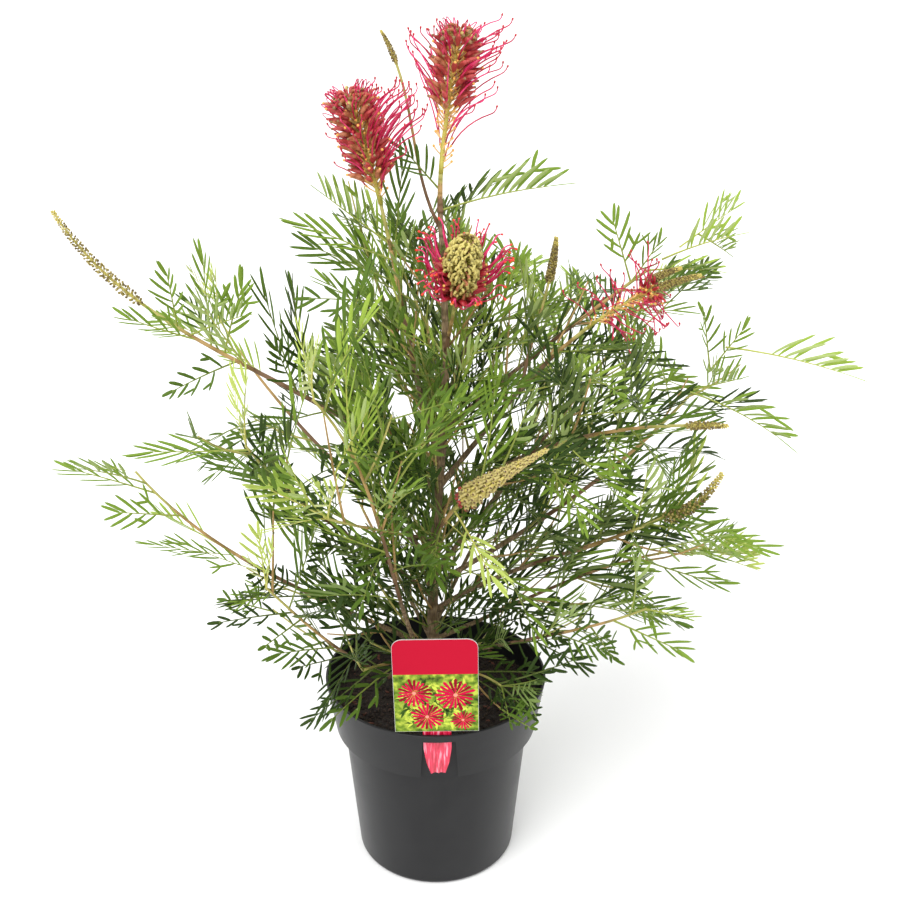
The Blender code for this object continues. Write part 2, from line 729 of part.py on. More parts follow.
def leaf_shape(x, y):
    """A point of the flat leaf, raised into the valley and sunk by the rib's droop."""
    return Vector((x, y, VALLEY_SLOPE * abs(y) - LEAF_DROOP * max(x, 0.0) ** 2))


class Blade:
    """One full-size leaf; its rib runs along +X from the origin and its upper face looks up."""

    def __init__(self):
        shape = bmesh.new()
        half = RIB_WIDTH / 2
        front = shape.edges.new([shape.verts.new(leaf_shape(-LEAF_ROOT, side * half))
                                 for side in (1, -1)])
        lobes = []
        for index in range(LOBE_PAIRS):
            share = (index + 0.5) / LOBE_PAIRS
            x = LEAF_LENGTH * (RIB_BARE + (RIB_LOBED - RIB_BARE) * share)
            front, _ = self.draw_rib(shape, front, x - LOBE_WIDTH / 2, half)
            front, sides = self.draw_rib(shape, front, x + LOBE_WIDTH / 2, half)
            lobe = LOBE_LENGTH * (0.62 + 0.75 * share - 0.95 * share * share)
            angle = LOBE_ANGLE * (1.15 - 0.45 * share)
            for edge in sides:
                side = math.copysign(1.0, edge.verts[0].co.y)
                foot = x + (LOBE_STAGGER if side < 0 else 0.0)
                lobes.append((edge, foot, foot + lobe * math.cos(angle),
                              side * (half + lobe * math.sin(angle))))
        self.draw_rib(shape, front, LEAF_LENGTH, 0.0)
        ends = [leaf_shape(LEAF_LENGTH, 0.0)]
        for edge, _, x, y in lobes:
            ends.append(leaf_shape(x, y))
            self.draw_point(shape, edge, ends[-1])
        bmesh.ops.recalc_face_normals(shape, faces=shape.faces)
        bmesh.ops.solidify(shape, geom=shape.faces[:], thickness=LEAF_THICKNESS)
        for end in ends:
            pair = [vertex for vertex in shape.verts if (vertex.co - end).length < 2 * LEAF_THICKNESS]
            bmesh.ops.pointmerge(shape, verts=pair, merge_co=end)
        bmesh.ops.recalc_face_normals(shape, faces=shape.faces)
        self.mesh = bpy.data.meshes.new("leaf")
        shape.to_mesh(self.mesh)
        shape.free()
        self.samples = self.samples_along(0.0, 0.0, LEAF_LENGTH, 0.0)
        for _, foot, x, y in lobes:
            self.samples += self.samples_along(foot, 0.0, x, y)

    @staticmethod
    def samples_along(x0, y0, x1, y1):
        """Points along a rib or a lobe, at which the leaf is tested for room."""
        count = round(math.hypot(x1 - x0, y1 - y0) / SAMPLE_STEP)
        return [leaf_shape(x0 + (x1 - x0) * (i + 1) / count, y0 + (y1 - y0) * (i + 1) / count)
                for i in range(count)]

    @staticmethod
    def draw_rib(shape, front, x, half):
        """Draw the rib's front edge on to x; returns the new front edge and the two side edges."""
        drawn = bmesh.ops.extrude_edge_only(shape, edges=[front])["geom"]
        corners = [item for item in drawn if isinstance(item, bmesh.types.BMVert)]
        edges = [item for item in drawn if isinstance(item, bmesh.types.BMEdge)]
        for corner in corners:
            side = math.copysign(1.0, corner.co.y)
            corner.co = leaf_shape(x + (LOBE_STAGGER if side < 0 and half else 0.0), side * half)
        new_front = next(edge for edge in edges if all(end in corners for end in edge.verts))
        sides = [edge for corner in corners for edge in corner.link_edges if edge != new_front]
        if not half:
            bmesh.ops.pointmerge(shape, verts=corners, merge_co=leaf_shape(x, 0.0))
        return new_front, sides

    @staticmethod
    def draw_point(shape, edge, end):
        """Draw a side edge of the rib out into a pointed lobe."""
        drawn = bmesh.ops.extrude_edge_only(shape, edges=[edge])["geom"]
        corners = [item for item in drawn if isinstance(item, bmesh.types.BMVert)]
        bmesh.ops.pointmerge(shape, verts=corners, merge_co=end)


def leaf_frame(root, along, up):
    """Turns the flat leaf's axes so that its rib runs along and its upper face looks up."""
    across = up.cross(along).normalized()
    normal = along.cross(across)
    turn = Matrix((along, across, normal)).transposed().to_4x4()
    return Matrix.Translation(root) @ turn


class Grower:
    """Puts twigs and leaves on one limb by a seeded rule, and skips what has no room."""

    def __init__(self, name, limb, path, space, blade, parts):
        self.name = name
        self.blade = blade
        self.limb = limb
        self.path = path
        self.space = space
        self.parts = parts
        self.leaf_length = LEAF_LENGTH * limb.leaf
        self.random = random.Random(1 + list(LIMBS).index(name))
        self.pieces = []
        self.placed = []

    def fits(self, points):
        if not all(self.space.holds(point, self.name) for point in points):
            return False
        for other in self.placed:
            if any((point - spot).length < LOBE_WIDTH for point in points for spot in other):
                return False
        return True

    def leaf(self, root, along, up, length, reaching=False):
        """Add one leaf if it has room; the test follows its rib and each lobe."""
        frame = leaf_frame(root, along, up) @ Matrix.Scale(length / LEAF_LENGTH, 4)
        tested = [frame @ point for point in self.blade.samples]
        if not self.fits(tested) or not (reaching or all(in_crown(point) for point in tested)):
            return False
        leaf = place(self.name + "_leaf", self.blade.mesh.copy(), self.parts)
        leaf.data.transform(frame)
        self.pieces.append(leaf)
        self.placed.append(tested)
        return True

    def sideways(self, stem, azimuth, angle):
        """A direction that leaves a stem at an angle, turned round it by the azimuth."""
        level = stem.cross(Vector((0, 0, 1)))
        level = level.normalized() if level.length > 0.05 else Vector((1, 0, 0))
        other = level.cross(stem)
        radial = level * math.cos(azimuth) + other * math.sin(azimuth)
        return (stem * math.cos(angle) + radial * math.sin(angle)).normalized()

    def leaf_somewhere(self, root, stem, azimuth, angle, length):
        """A leaf at a node; when it has no room it is turned, then made smaller."""
        for size in LEAF_SIZES:
            for turn in LEAF_TURNS:
                along = self.sideways(stem, azimuth + math.radians(turn), angle)
                up = stem * 0.6 + Vector((0, 0, 0.8))
                if abs(up.normalized().dot(along)) > 0.95:
                    up = stem
                if self.leaf(root, along, up, length * size):
                    return True
        return False

    def twig(self, root, stem, azimuth):
        """A side twig with a leaf at its tip and one at its middle."""
        for turn in LEAF_TURNS:
            along = self.sideways(stem, azimuth + math.radians(turn), TWIG_ANGLE)
            length = TWIG_LENGTH * self.random.uniform(0.8, 1.2)
            bend = Vector((0, 0, 0.12))
            points = [root - along * 0.0005]
            points += [root + along * length * share + bend * length * share * share
                       for share in (0.5, 1.0)]
            tested = [root + along * length * share for share in (0.25, 0.5, 0.75, 1.0)]
            if not self.fits(tested):
                continue
            diameters = [TWIG_DIAMETER, TWIG_DIAMETER * 0.85, TWIG_DIAMETER * 0.7]
            tip = points[-1]
            outward = (points[2] - points[1]).normalized()
            before = len(self.pieces)
            leafed = self.leaf_somewhere(tip - outward * 0.001, outward, azimuth, math.radians(16),
                                         self.leaf_length * 0.9)
            self.leaf_somewhere(points[1], outward, azimuth + GOLDEN_ANGLE, LEAF_ANGLE,
                                self.leaf_length * 0.8)
            if leafed or len(self.pieces) > before:
                self.pieces.append(rod(self.name + "_twig", points, diameters, 4, self.parts))
                self.placed.append(tested)
                return True
        return False

    def grow(self):
        limb, path = self.limb, self.path
        start = limb.bare + (GAP / limb.length if limb.bare else 0.0)
        steps = max(3, round((limb.leafy - start) * limb.length / 0.035))
        stem = limb_rod(self.name + "_stem", path, limb, start, limb.leafy, steps, 4, self.parts)
        for name, share, heading, rise, length in REACHING_LEAVES:
            if name == self.name:
                along = heading_vector(heading, rise)
                up = Vector((0, 0, 1)) if abs(rise) < 60 else path.direction(share)
                root = path.at(max(share, limb.bare + 0.02))
                if not self.leaf(root, along, up, length, True):
                    self.leaf(root, along, up, length * 0.85, True)
        if limb.leafy == 1.0:
            tip = path.direction(1.0)
            self.leaf_somewhere(path.at(1.0) - tip * 0.002, tip, self.random.uniform(0, 6.28),
                                math.radians(14), self.leaf_length * 0.85)
        first = max(start * limb.length + 0.012, 0.024)
        last = limb.leafy * limb.length - 0.012
        azimuth = self.random.uniform(0, 2 * math.pi)
        count = int((last - first) / LEAF_SPACING) + 1
        for index in range(count):
            share = (first + index * LEAF_SPACING) / limb.length
            root, along = path.at(share), path.direction(share)
            azimuth += GOLDEN_ANGLE
            if index % TWIG_EVERY == 1 and self.twig(root, along, azimuth):
                continue
            self.leaf_somewhere(root, along, azimuth, LEAF_ANGLE,
                                self.leaf_length * self.random.uniform(0.85, 1.1))
        return stem


def heading_vector(heading, rise):
    heading, rise = math.radians(heading), math.radians(rise)
    return Vector((math.cos(rise) * math.cos(heading), math.cos(rise) * math.sin(heading),
                   math.sin(rise)))


def make_foliage(name, limb, path, space, blade, foot_cutter, parts):
    grower = Grower(name, limb, path, space, blade, parts)
    stem = grower.grow()
    if foot_cutter:
        combine(stem, "DIFFERENCE", [foot_cutter])
    if name in FUSED_SPIKES:
        grower.pieces.append(spike_rod(name, path, limb.leafy - 0.002 / limb.length, parts))
    mass = fuse("foliage", [stem] + grower.pieces, parts)
    return finish(mass, "foliage_" + name, "foliage")


# Bud spikes and blooms

def spike_rod(name, path, start, parts):
    """A spike of closed buds: stout soon after its foot, and drawn out to its tip."""
    shares = (0.0, 0.10, 0.22, 0.40, 0.60, 0.80, 0.93, 1.0)
    swell = (0.30, 0.45, 1.00, 0.95, 0.80, 0.62, 0.45, 0.18)
    points = [path.at(start + (1.0 - start) * share) for share in shares]
    return rod("buds", points, [SPIKES[name] * size for size in swell], 6, parts)


def head_rod(name, path, start, parts):
    """The stout egg-shaped body of a flower head, with the closed buds that it may end in."""
    diameter, _, open_share = BLOOMS[name]
    shares = [0.0, 0.10, 0.13, 0.26, 0.48, 0.70, 0.88, 0.97, 1.0]
    swell = [0.07, 0.08, 0.36, 0.84, 1.00, 0.88, 0.58, 0.30, 0.10]
    shares = [share * open_share for share in shares]
    diameters = [diameter * size for size in swell]
    if open_share < 1.0:
        shares[-1:] = [open_share + (1.0 - open_share) * share for share in (0.1, 0.5, 0.9, 1.0)]
        diameters[-1:] = [CLOSED_DIAMETER * size for size in (1.0, 0.9, 0.6, 0.2)]
    points = [path.at(start + (1.0 - start) * share) for share in shares]
    return rod("head", points, diameters, HEAD_SIDES, parts)


def make_bloom(name, limb, path, space, foot_cutter, parts):
    """A flower head on its stalk, with styles that curve out of it all round."""
    diameter, reach, open_share = BLOOMS[name]
    start = limb.leafy + GAP / limb.length
    pieces = []
    if not limb.leaf:
        stalk = limb_rod("stalk", path, limb, 0.0, limb.leafy + 0.1, 4, 6, parts)
        combine(stalk, "DIFFERENCE", [foot_cutter])
        pieces.append(stalk)
        start = limb.leafy
    pieces.append(head_rod(name, path, start, parts))
    span = (1.0 - start) * limb.length * open_share
    dice = random.Random(100 + list(LIMBS).index(name))
    for index in range(STYLE_COUNT):
        head_share = open_share * (0.24 + 0.62 * (index + 0.5) / STYLE_COUNT)
        share = start + (1.0 - start) * head_share
        root, axis = path.at(share), path.direction(share)
        level = axis.cross(Vector((0, 0, 1)))
        level = level.normalized() if level.length > 0.05 else Vector((1, 0, 0))
        azimuth = index * GOLDEN_ANGLE
        radial = level * math.cos(azimuth) + level.cross(axis) * math.sin(azimuth)
        far = max(head_reach(name, head_share), diameter * 0.7) * dice.uniform(0.86, 0.98)
        lift = dice.uniform(-0.08, 0.22) * span
        bow = [root + radial * diameter * 0.30,
               root + radial * far * 0.80 + axis * (lift - 0.010),
               root + radial * far + axis * lift]
        if all(space.clear_of_solids(point, "head of " + name, STYLE_DIAMETER) for point in bow[1:]):
            thick = [STYLE_DIAMETER, STYLE_DIAMETER * 0.8, STYLE_DIAMETER * 0.9]
            pieces.append(rod("style", bow, thick, 4, parts))
    bloom = fuse("bloom", pieces, parts)
    return finish(bloom, "bloom_" + name.replace("bloom_", ""), "bloom")


def build_plant():
    clear_scene()
    parts = new_collection("raspberry_dream_grevillea")
    cutters = new_collection("cutters")
    make_pot(parts, cutters)
    make_soil(parts, cutters)
    make_label(parts)
    finish(trunk_rod("trunk", 0.0, parts), "trunk", "bark")
    paths = all_paths()
    space = Space(paths)
    blade = Blade()
    clear_trunk = trunk_rod("trunk_clearance", GAP, cutters)
    for name, limb in LIMBS.items():
        path = paths[name]
        foot_cutter = clear_trunk if not limb.root == FORK else None
        if isinstance(limb.root, tuple):
            carrier = limb.root[0]
            foot_cutter = limb_rod("carrier_clearance", paths[carrier], LIMBS[carrier], 0.0,
                                   LIMBS[carrier].bare, 5, 6, cutters, GAP)
        if limb.bare:
            steps = max(4, round(limb.bare * limb.length / 0.025))
            bough = limb_rod("bough", path, limb, 0.0, limb.bare, steps, 6, parts)
            combine(bough, "DIFFERENCE", [foot_cutter])
            finish(bough, "bough_" + name, "bark")
            foot_cutter = None
        if limb.leaf:
            make_foliage(name, limb, path, space, blade, foot_cutter, parts)
        if name in SPIKES and name not in FUSED_SPIKES:
            spike = spike_rod(name, path, limb.leafy + GAP / limb.length, parts)
            finish(spike, "buds_" + name, "buds", 60)
        if name in BLOOMS:
            make_bloom(name, limb, path, space, foot_cutter, parts)
    for cutter in cutters.objects:
        cutter.hide_render = True
        cutter.display_type = "WIRE"


build_plant()
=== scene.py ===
import json
import math
import random

import bmesh
import bpy
import numpy as np
from mathutils import Matrix, Vector, noise

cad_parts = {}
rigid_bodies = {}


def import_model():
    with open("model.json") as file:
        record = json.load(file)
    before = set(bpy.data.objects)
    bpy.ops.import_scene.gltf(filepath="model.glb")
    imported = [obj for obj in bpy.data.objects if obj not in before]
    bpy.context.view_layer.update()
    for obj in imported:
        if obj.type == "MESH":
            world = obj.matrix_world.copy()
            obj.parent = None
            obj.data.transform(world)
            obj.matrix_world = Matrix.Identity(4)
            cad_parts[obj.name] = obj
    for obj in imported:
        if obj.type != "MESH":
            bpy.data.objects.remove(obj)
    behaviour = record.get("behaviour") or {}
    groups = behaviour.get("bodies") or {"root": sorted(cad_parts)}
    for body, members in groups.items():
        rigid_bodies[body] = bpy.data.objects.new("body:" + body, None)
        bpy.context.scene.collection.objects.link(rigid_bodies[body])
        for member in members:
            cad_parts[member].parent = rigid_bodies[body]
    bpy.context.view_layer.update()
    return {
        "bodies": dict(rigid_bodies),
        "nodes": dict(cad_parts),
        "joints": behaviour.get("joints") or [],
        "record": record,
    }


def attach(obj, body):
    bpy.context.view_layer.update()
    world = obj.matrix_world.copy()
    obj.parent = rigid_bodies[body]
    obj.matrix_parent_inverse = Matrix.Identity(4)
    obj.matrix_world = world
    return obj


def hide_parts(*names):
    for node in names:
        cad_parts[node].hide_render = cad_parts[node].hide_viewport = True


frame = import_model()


# The pot: a thin bucket moulded in matt charcoal plastic, with a deep flared collar. The collar's
# front has a channel for the label's stake, bridged at the rim by a strap. It is turned from its
# profiles and cut, then its edges are rounded.

POT_HEIGHT = 0.186
RIM_RADIUS = 0.1025
COLLAR_FOOT_HEIGHT = 0.136
COLLAR_FOOT_RADIUS = 0.0941
BODY_TOP_RADIUS = 0.0865
BASE_RADIUS = 0.0747
BASE_ROUNDING = 0.005
POT_WALL = 0.002
FLOOR_THICKNESS = 0.003
POT_STEPS = 144
DRAIN_RADIUS = 0.005
DRAIN_CIRCLE = 0.052
DRAIN_COUNT = 6
CHANNEL_MIDDLE = 0.004
CHANNEL_WIDTH = 0.033
CHANNEL_TOP_WIDTH = 0.028
CHANNEL_BACK = 0.0900
CHANNEL_TOP_BACK = 0.0950
STRAP_HEIGHT = 0.007
STRAP_BACK = 0.0997
SOIL_TOP = 0.160


class Level:
    """A value among a material's nodes. Sums and products of Levels add Math nodes."""

    def __init__(self, tree, socket):
        self.tree = tree
        self.socket = socket

    def node(self, kind, settings, inputs, output=0):
        """Any node: its settings are made first, then its sockets get values or links."""
        made = self.tree.nodes.new(kind)
        for name, value in settings.items():
            if name == "stops":
                for index, (place, colour) in enumerate(value):
                    stops = made.color_ramp.elements
                    stop = stops[index] if index < len(stops) else stops.new(place)
                    stop.position = place
                    stop.color = (*colour, 1.0)
            else:
                setattr(made, name, value)
        for name, value in inputs.items():
            if isinstance(value, Level):
                self.tree.links.new(value.socket, made.inputs[name])
            else:
                made.inputs[name].default_value = value
        return Level(self.tree, made.outputs[output])

    def math(self, operation, first, second):
        return self.node("ShaderNodeMath", {"operation": operation}, {0: first, 1: second})

    def __add__(self, other):
        return self.math("ADD", self, other)

    def __sub__(self, other):
        return self.math("SUBTRACT", self, other)

    def __rsub__(self, other):
        return self.math("SUBTRACT", other, self)

    def __mul__(self, other):
        return self.math("MULTIPLY", self, other)

    __radd__ = __add__
    __rmul__ = __mul__

    def grain(self, scale, detail=3.0, stretch=(1.0, 1.0, 1.0)):
        """Cloudy noise over this vector, in grains per metre."""
        drawn = self.node("ShaderNodeVectorMath", {"operation": "MULTIPLY"}, {0: self, 1: stretch})
        return self.node("ShaderNodeTexNoise", {}, {"Vector": drawn, "Scale": scale, "Detail": detail})

    def blend(self, first, second):
        """From the first colour to the second as this level goes from 0 to 1."""
        return self.node("ShaderNodeMix", {"data_type": "RGBA"}, {0: self, 6: first, 7: second}, 2)


class Finish:
    """A material: constants go straight on its shader's sockets, and patterns feed the others."""

    def __init__(self, name, colour, roughness, **constants):
        self.material = bpy.data.materials.new(name)
        self.material.use_nodes = True
        self.tree = self.material.node_tree
        self.shader = self.tree.nodes["Principled BSDF"]
        self.shader.inputs["Base Color"].default_value = (*colour, 1.0)
        self.shader.inputs["Roughness"].default_value = roughness
        for name, value in constants.items():
            self.shader.inputs[name.replace("_", " ")].default_value = value
        place = self.tree.nodes.new("ShaderNodeTexCoord")
        self.place = Level(self.tree, place.outputs["Object"])

    def feed(self, socket, level):
        self.tree.links.new(level.socket, self.shader.inputs[socket])

    def emboss(self, height, depth, strength=1.0):
        bump = self.place.node("ShaderNodeBump", {},
                               {"Height": height, "Distance": depth, "Strength": strength})
        self.feed("Normal", bump)


def show(name, mesh, finishes, nodes=()):
    """A finished piece that rides with the plant and stands for the nodes."""
    piece = bpy.data.objects.new(name, mesh)
    bpy.context.scene.collection.objects.link(piece)
    for finish in finishes:
        mesh.materials.append(finish.material)
    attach(piece, "root")
    if nodes:
        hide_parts(*nodes)
    return piece


def turned(profile, steps):
    """A solid turned from (radius, height) pairs that run from the axis back to the axis."""
    shape = bmesh.new()
    corners = [shape.verts.new((radius, 0.0, height)) for radius, height in profile]
    edges = [shape.edges.new(pair) for pair in zip(corners, corners[1:])]
    bmesh.ops.spin(shape, geom=corners + edges, axis=(0, 0, 1), cent=(0, 0, 0), steps=steps,
                   angle=2 * math.pi, use_merge=True)
    bmesh.ops.remove_doubles(shape, verts=shape.verts, dist=1e-6)
    bmesh.ops.recalc_face_normals(shape, faces=shape.faces)
    return shape


def block(low, high):
    shape = bmesh.new()
    bmesh.ops.create_cube(shape, size=1.0)
    bmesh.ops.scale(shape, verts=shape.verts, vec=Vector(high) - Vector(low))
    bmesh.ops.translate(shape, verts=shape.verts, vec=(Vector(high) + Vector(low)) / 2)
    return shape


def channel_room(low, high, front, extra):
    """The label channel's room between two heights: it narrows and stands out towards the rim."""
    room = block((-1.0, -front, low), (1.0, 0.0, high))
    for corner in room.verts:
        share = (corner.co.z - COLLAR_FOOT_HEIGHT) / (POT_HEIGHT - COLLAR_FOOT_HEIGHT)
        width = CHANNEL_WIDTH + share * (CHANNEL_TOP_WIDTH - CHANNEL_WIDTH)
        corner.co.x = CHANNEL_MIDDLE + math.copysign(width / 2 + extra, corner.co.x)
        if corner.co.y > -front / 2:
            corner.co.y = extra - CHANNEL_BACK - share * (CHANNEL_TOP_BACK - CHANNEL_BACK)
    return room


def to_mesh(shape, name):
    mesh = bpy.data.meshes.new(name)
    shape.to_mesh(mesh)
    shape.free()
    return mesh


def cut_out(shape, tools):
    """The shape with the tools' shapes cut out of it."""
    body = bpy.data.objects.new("body", to_mesh(shape, "body"))
    bpy.context.scene.collection.objects.link(body)
    cutters = []
    for tool in tools:
        cutter = bpy.data.objects.new("cutter", to_mesh(tool, "cutter"))
        bpy.context.scene.collection.objects.link(cutter)
        step = body.modifiers.new("cut", "BOOLEAN")
        step.object = cutter
        step.solver = "EXACT"
        cutters.append(cutter)
    graph = bpy.context.evaluated_depsgraph_get()
    result = bmesh.new()
    result.from_mesh(body.evaluated_get(graph).to_mesh())
    for thing in cutters + [body]:
        bpy.data.objects.remove(thing)
    return result


def wall_inside(height):
    """The radius of the pot's inner wall at a height."""
    if height >= COLLAR_FOOT_HEIGHT:
        share = (height - COLLAR_FOOT_HEIGHT) / (POT_HEIGHT - COLLAR_FOOT_HEIGHT)
        return COLLAR_FOOT_RADIUS + share * (RIM_RADIUS - COLLAR_FOOT_RADIUS) - POT_WALL
    share = height / COLLAR_FOOT_HEIGHT
    return BASE_RADIUS + share * (BODY_TOP_RADIUS - BASE_RADIUS) - POT_WALL


foot_curve = []
for index in range(6):
    turn = math.radians(90 * index / 5)
    foot_curve.append((BASE_RADIUS - BASE_ROUNDING * (1 - math.cos(turn)),
                       BASE_ROUNDING * (1 - math.sin(turn))))
outside = [
    (0.0, POT_HEIGHT), (RIM_RADIUS - 0.0004, POT_HEIGHT), (RIM_RADIUS, POT_HEIGHT - 0.0006),
    (COLLAR_FOOT_RADIUS, COLLAR_FOOT_HEIGHT), (BODY_TOP_RADIUS, COLLAR_FOOT_HEIGHT - 0.0008),
    *foot_curve, (0.0, 0.0),
]
inside = [
    (0.0, POT_HEIGHT + 0.01), (wall_inside(POT_HEIGHT + 0.01), POT_HEIGHT + 0.01),
    (wall_inside(COLLAR_FOOT_HEIGHT + 0.003), COLLAR_FOOT_HEIGHT + 0.003),
    (wall_inside(COLLAR_FOOT_HEIGHT - 0.001), COLLAR_FOOT_HEIGHT - 0.001),
    (wall_inside(BASE_ROUNDING) - 0.001, BASE_ROUNDING + FLOOR_THICKNESS),
    (wall_inside(0.0) - BASE_ROUNDING, FLOOR_THICKNESS), (0.0, FLOOR_THICKNESS),
]
past_rim = RIM_RADIUS + 0.01
hump = channel_room(COLLAR_FOOT_HEIGHT - 0.004, POT_HEIGHT + 0.02, past_rim, POT_WALL)
channel = channel_room(COLLAR_FOOT_HEIGHT - 0.002, POT_HEIGHT - STRAP_HEIGHT, past_rim, 0.0)
slot_cut = channel_room(POT_HEIGHT - STRAP_HEIGHT - 0.001, POT_HEIGHT + 0.01, STRAP_BACK, 0.0)
drains = []
for index in range(DRAIN_COUNT):
    around = 2 * math.pi * (index + 0.5) / DRAIN_COUNT
    drain = turned([(0.0, 0.01), (DRAIN_RADIUS, 0.01), (DRAIN_RADIUS, -0.01), (0.0, -0.01)], 24)
    bmesh.ops.translate(drain, verts=drain.verts, vec=(
        DRAIN_CIRCLE * math.cos(around), DRAIN_CIRCLE * math.sin(around), 0.0))
    drains.append(drain)
cavity = cut_out(turned(inside, POT_STEPS), [hump])
pot_shape = cut_out(turned(outside, POT_STEPS), [cavity, channel, slot_cut] + drains)
pot_mesh = to_mesh(pot_shape, "nursery_pot")

plastic = Finish("matt_charcoal_plastic", (0.010, 0.010, 0.011), 0.40, Specular_IOR_Level=0.26)
mould_grain = plastic.place.grain(2600, 2)
dust = plastic.place.grain(38, 4)
plastic.feed("Base Color", (dust * 1.6 - 0.35).blend((0.008, 0.008, 0.009, 1), (0.015, 0.015, 0.016, 1)))
plastic.feed("Roughness", dust * 0.16 + 0.28)
plastic.emboss(mould_grain, 0.00008, 0.6)
pot = show("nursery_pot", pot_mesh, [plastic], ["pot"])
pot_mesh.shade_smooth()
pot_mesh.set_sharp_from_angle(angle=math.radians(30))
rounded = pot.modifiers.new("rounded", "BEVEL")
rounded.width = 0.0004
rounded.segments = 2
rounded.limit_method = "ANGLE"
rounded.angle_limit = math.radians(40)
rounded.harden_normals = True


# The potting mix: damp composted bark, which fills the pot to 26 mm below its rim. Its surface is
# a raised and hollowed disc with loose bark chips lying in it.

SURFACE_RINGS = 34
SURFACE_STEPS = 96
CHIP_COUNT = 1500
CHIP_SIZES = (0.0018, 0.0062)


def soil_height(x, y):
    """The surface is a little high at the stem, and lumpy."""
    lumps = noise.noise(Vector((x, y, 0.0)) * 90) * 0.0022 + noise.noise(Vector((x, y, 3.0)) * 260) * 0.001
    return SOIL_TOP - 0.001 + lumps + 0.003 * math.exp(-math.hypot(x, y) / 0.02)


class Heap:
    """Many small like things, joined into one mesh."""

    def __init__(self):
        self.points = []
        self.faces = []
        self.finishes = []
        self.count = 0

    def add(self, pattern, points=None, finish=None):
        """A copy of a pattern, with its points moved, in its own finishes or in one."""
        kept, faces, finishes = pattern
        self.points.append(kept if points is None else points)
        self.faces.append(faces + self.count)
        self.finishes.append(finishes if finish is None else np.full(len(faces), finish))
        self.count += len(kept)

    def mesh(self, name):
        made = bpy.data.meshes.new(name)
        made.from_pydata(np.concatenate(self.points), [], np.concatenate(self.faces))
        made.polygons.foreach_set("material_index", np.concatenate(self.finishes).astype(np.int32))
        return made


def pattern_of(shape):
    """A shape as the arrays that a Heap copies: points, triangles and the finish of each."""
    bmesh.ops.triangulate(shape, faces=shape.faces)
    shape.verts.index_update()
    points = np.array([corner.co for corner in shape.verts])
    faces = np.array([[corner.index for corner in face.verts] for face in shape.faces])
    finishes = np.array([face.material_index for face in shape.faces])
    shape.free()
    return points, faces, finishes


def moved(points, frame):
    """Points taken through a 4 by 4 frame."""
    grid = np.array(frame)
    return points @ grid[:3, :3].T + grid[:3, 3]


SIDE_GAP = 0.0003
fill_top = wall_inside(SOIL_TOP) - SIDE_GAP
fill = turned([(fill_top * index / SURFACE_RINGS, SOIL_TOP) for index in range(SURFACE_RINGS + 1)] + [
    (wall_inside(COLLAR_FOOT_HEIGHT + 0.003) - SIDE_GAP, COLLAR_FOOT_HEIGHT + 0.003),
    (wall_inside(COLLAR_FOOT_HEIGHT - 0.001) - SIDE_GAP, COLLAR_FOOT_HEIGHT - 0.001),
    (wall_inside(BASE_ROUNDING) - 0.001 - SIDE_GAP, BASE_ROUNDING + FLOOR_THICKNESS),
    (wall_inside(0.0) - BASE_ROUNDING - SIDE_GAP, FLOOR_THICKNESS + SIDE_GAP),
    (0.0, FLOOR_THICKNESS + SIDE_GAP),
], SURFACE_STEPS)
for corner in fill.verts:
    if corner.co.z > SOIL_TOP - 0.001:
        edge = min(1.0, (fill_top - corner.co.xy.length) / 0.004)
        corner.co.z += (soil_height(corner.co.x, corner.co.y) - SOIL_TOP) * edge - 0.0004
room_for_channel = channel_room(COLLAR_FOOT_HEIGHT - 0.0045, POT_HEIGHT, past_rim,
                                POT_WALL + SIDE_GAP)
surface = cut_out(fill, [room_for_channel])
mix_heap = Heap()
mix_heap.add(pattern_of(surface))
chip_dice = random.Random(5)
chip_patterns = []
for index in range(6):
    chip = bmesh.new()
    bmesh.ops.create_icosphere(chip, subdivisions=1, radius=0.5)
    for corner in chip.verts:
        corner.co *= chip_dice.uniform(0.75, 1.2)
    bmesh.ops.scale(chip, verts=chip.verts, vec=(1.0, chip_dice.uniform(0.4, 0.8),
                                                 chip_dice.uniform(0.2, 0.45)))
    chip_patterns.append(pattern_of(chip))
for index in range(CHIP_COUNT):
    far = (wall_inside(SOIL_TOP) - 0.004) * math.sqrt(chip_dice.random())
    around = chip_dice.uniform(0, 2 * math.pi)
    x, y = far * math.cos(around), far * math.sin(around)
    if y < -CHANNEL_BACK + 0.006 and abs(x - CHANNEL_MIDDLE) < CHANNEL_WIDTH / 2 + 0.006:
        continue
    size = chip_dice.uniform(*CHIP_SIZES)
    lie = Matrix.Rotation(chip_dice.uniform(0, 6.28), 4, "Z") @ Matrix.Rotation(
        chip_dice.gauss(0, 0.5), 4, "X")
    frame_of_chip = Matrix.Translation((x, y, soil_height(x, y) + size * 0.08)) @ lie @ Matrix.Scale(size, 4)
    chosen = chip_dice.choice(chip_patterns)
    mix_heap.add(chosen, moved(chosen[0], frame_of_chip), chip_dice.choice((0, 0, 0, 1, 1, 1, 2)))
mix_mesh = mix_heap.mesh("potting_mix")

bark_mix = Finish("damp_bark_mix", (0.020, 0.011, 0.007), 0.95)
crumbs = bark_mix.place.grain(700, 5)
bark_mix.feed("Base Color", crumbs.node("ShaderNodeValToRGB", {"stops": (
    (0.30, (0.004, 0.003, 0.002)), (0.52, (0.017, 0.010, 0.007)), (0.75, (0.055, 0.030, 0.019)),
)}, {0: crumbs}))
bark_mix.emboss(crumbs, 0.0012)
brown_chip = Finish("brown_bark_chip", (0.034, 0.018, 0.011), 0.90)
red_chip = Finish("reddish_bark_chip", (0.120, 0.042, 0.026), 0.90)
show("potting_mix", mix_mesh, [bark_mix, brown_chip, red_chip], ["soil"])


# The plant label: a printed plastic card with round upper corners, on a folded glossy red stake
# that is pushed down behind the strap. Its printing is a plain red head over a garden pattern of
# leaves and round flowers, and its rim is bare white plastic.

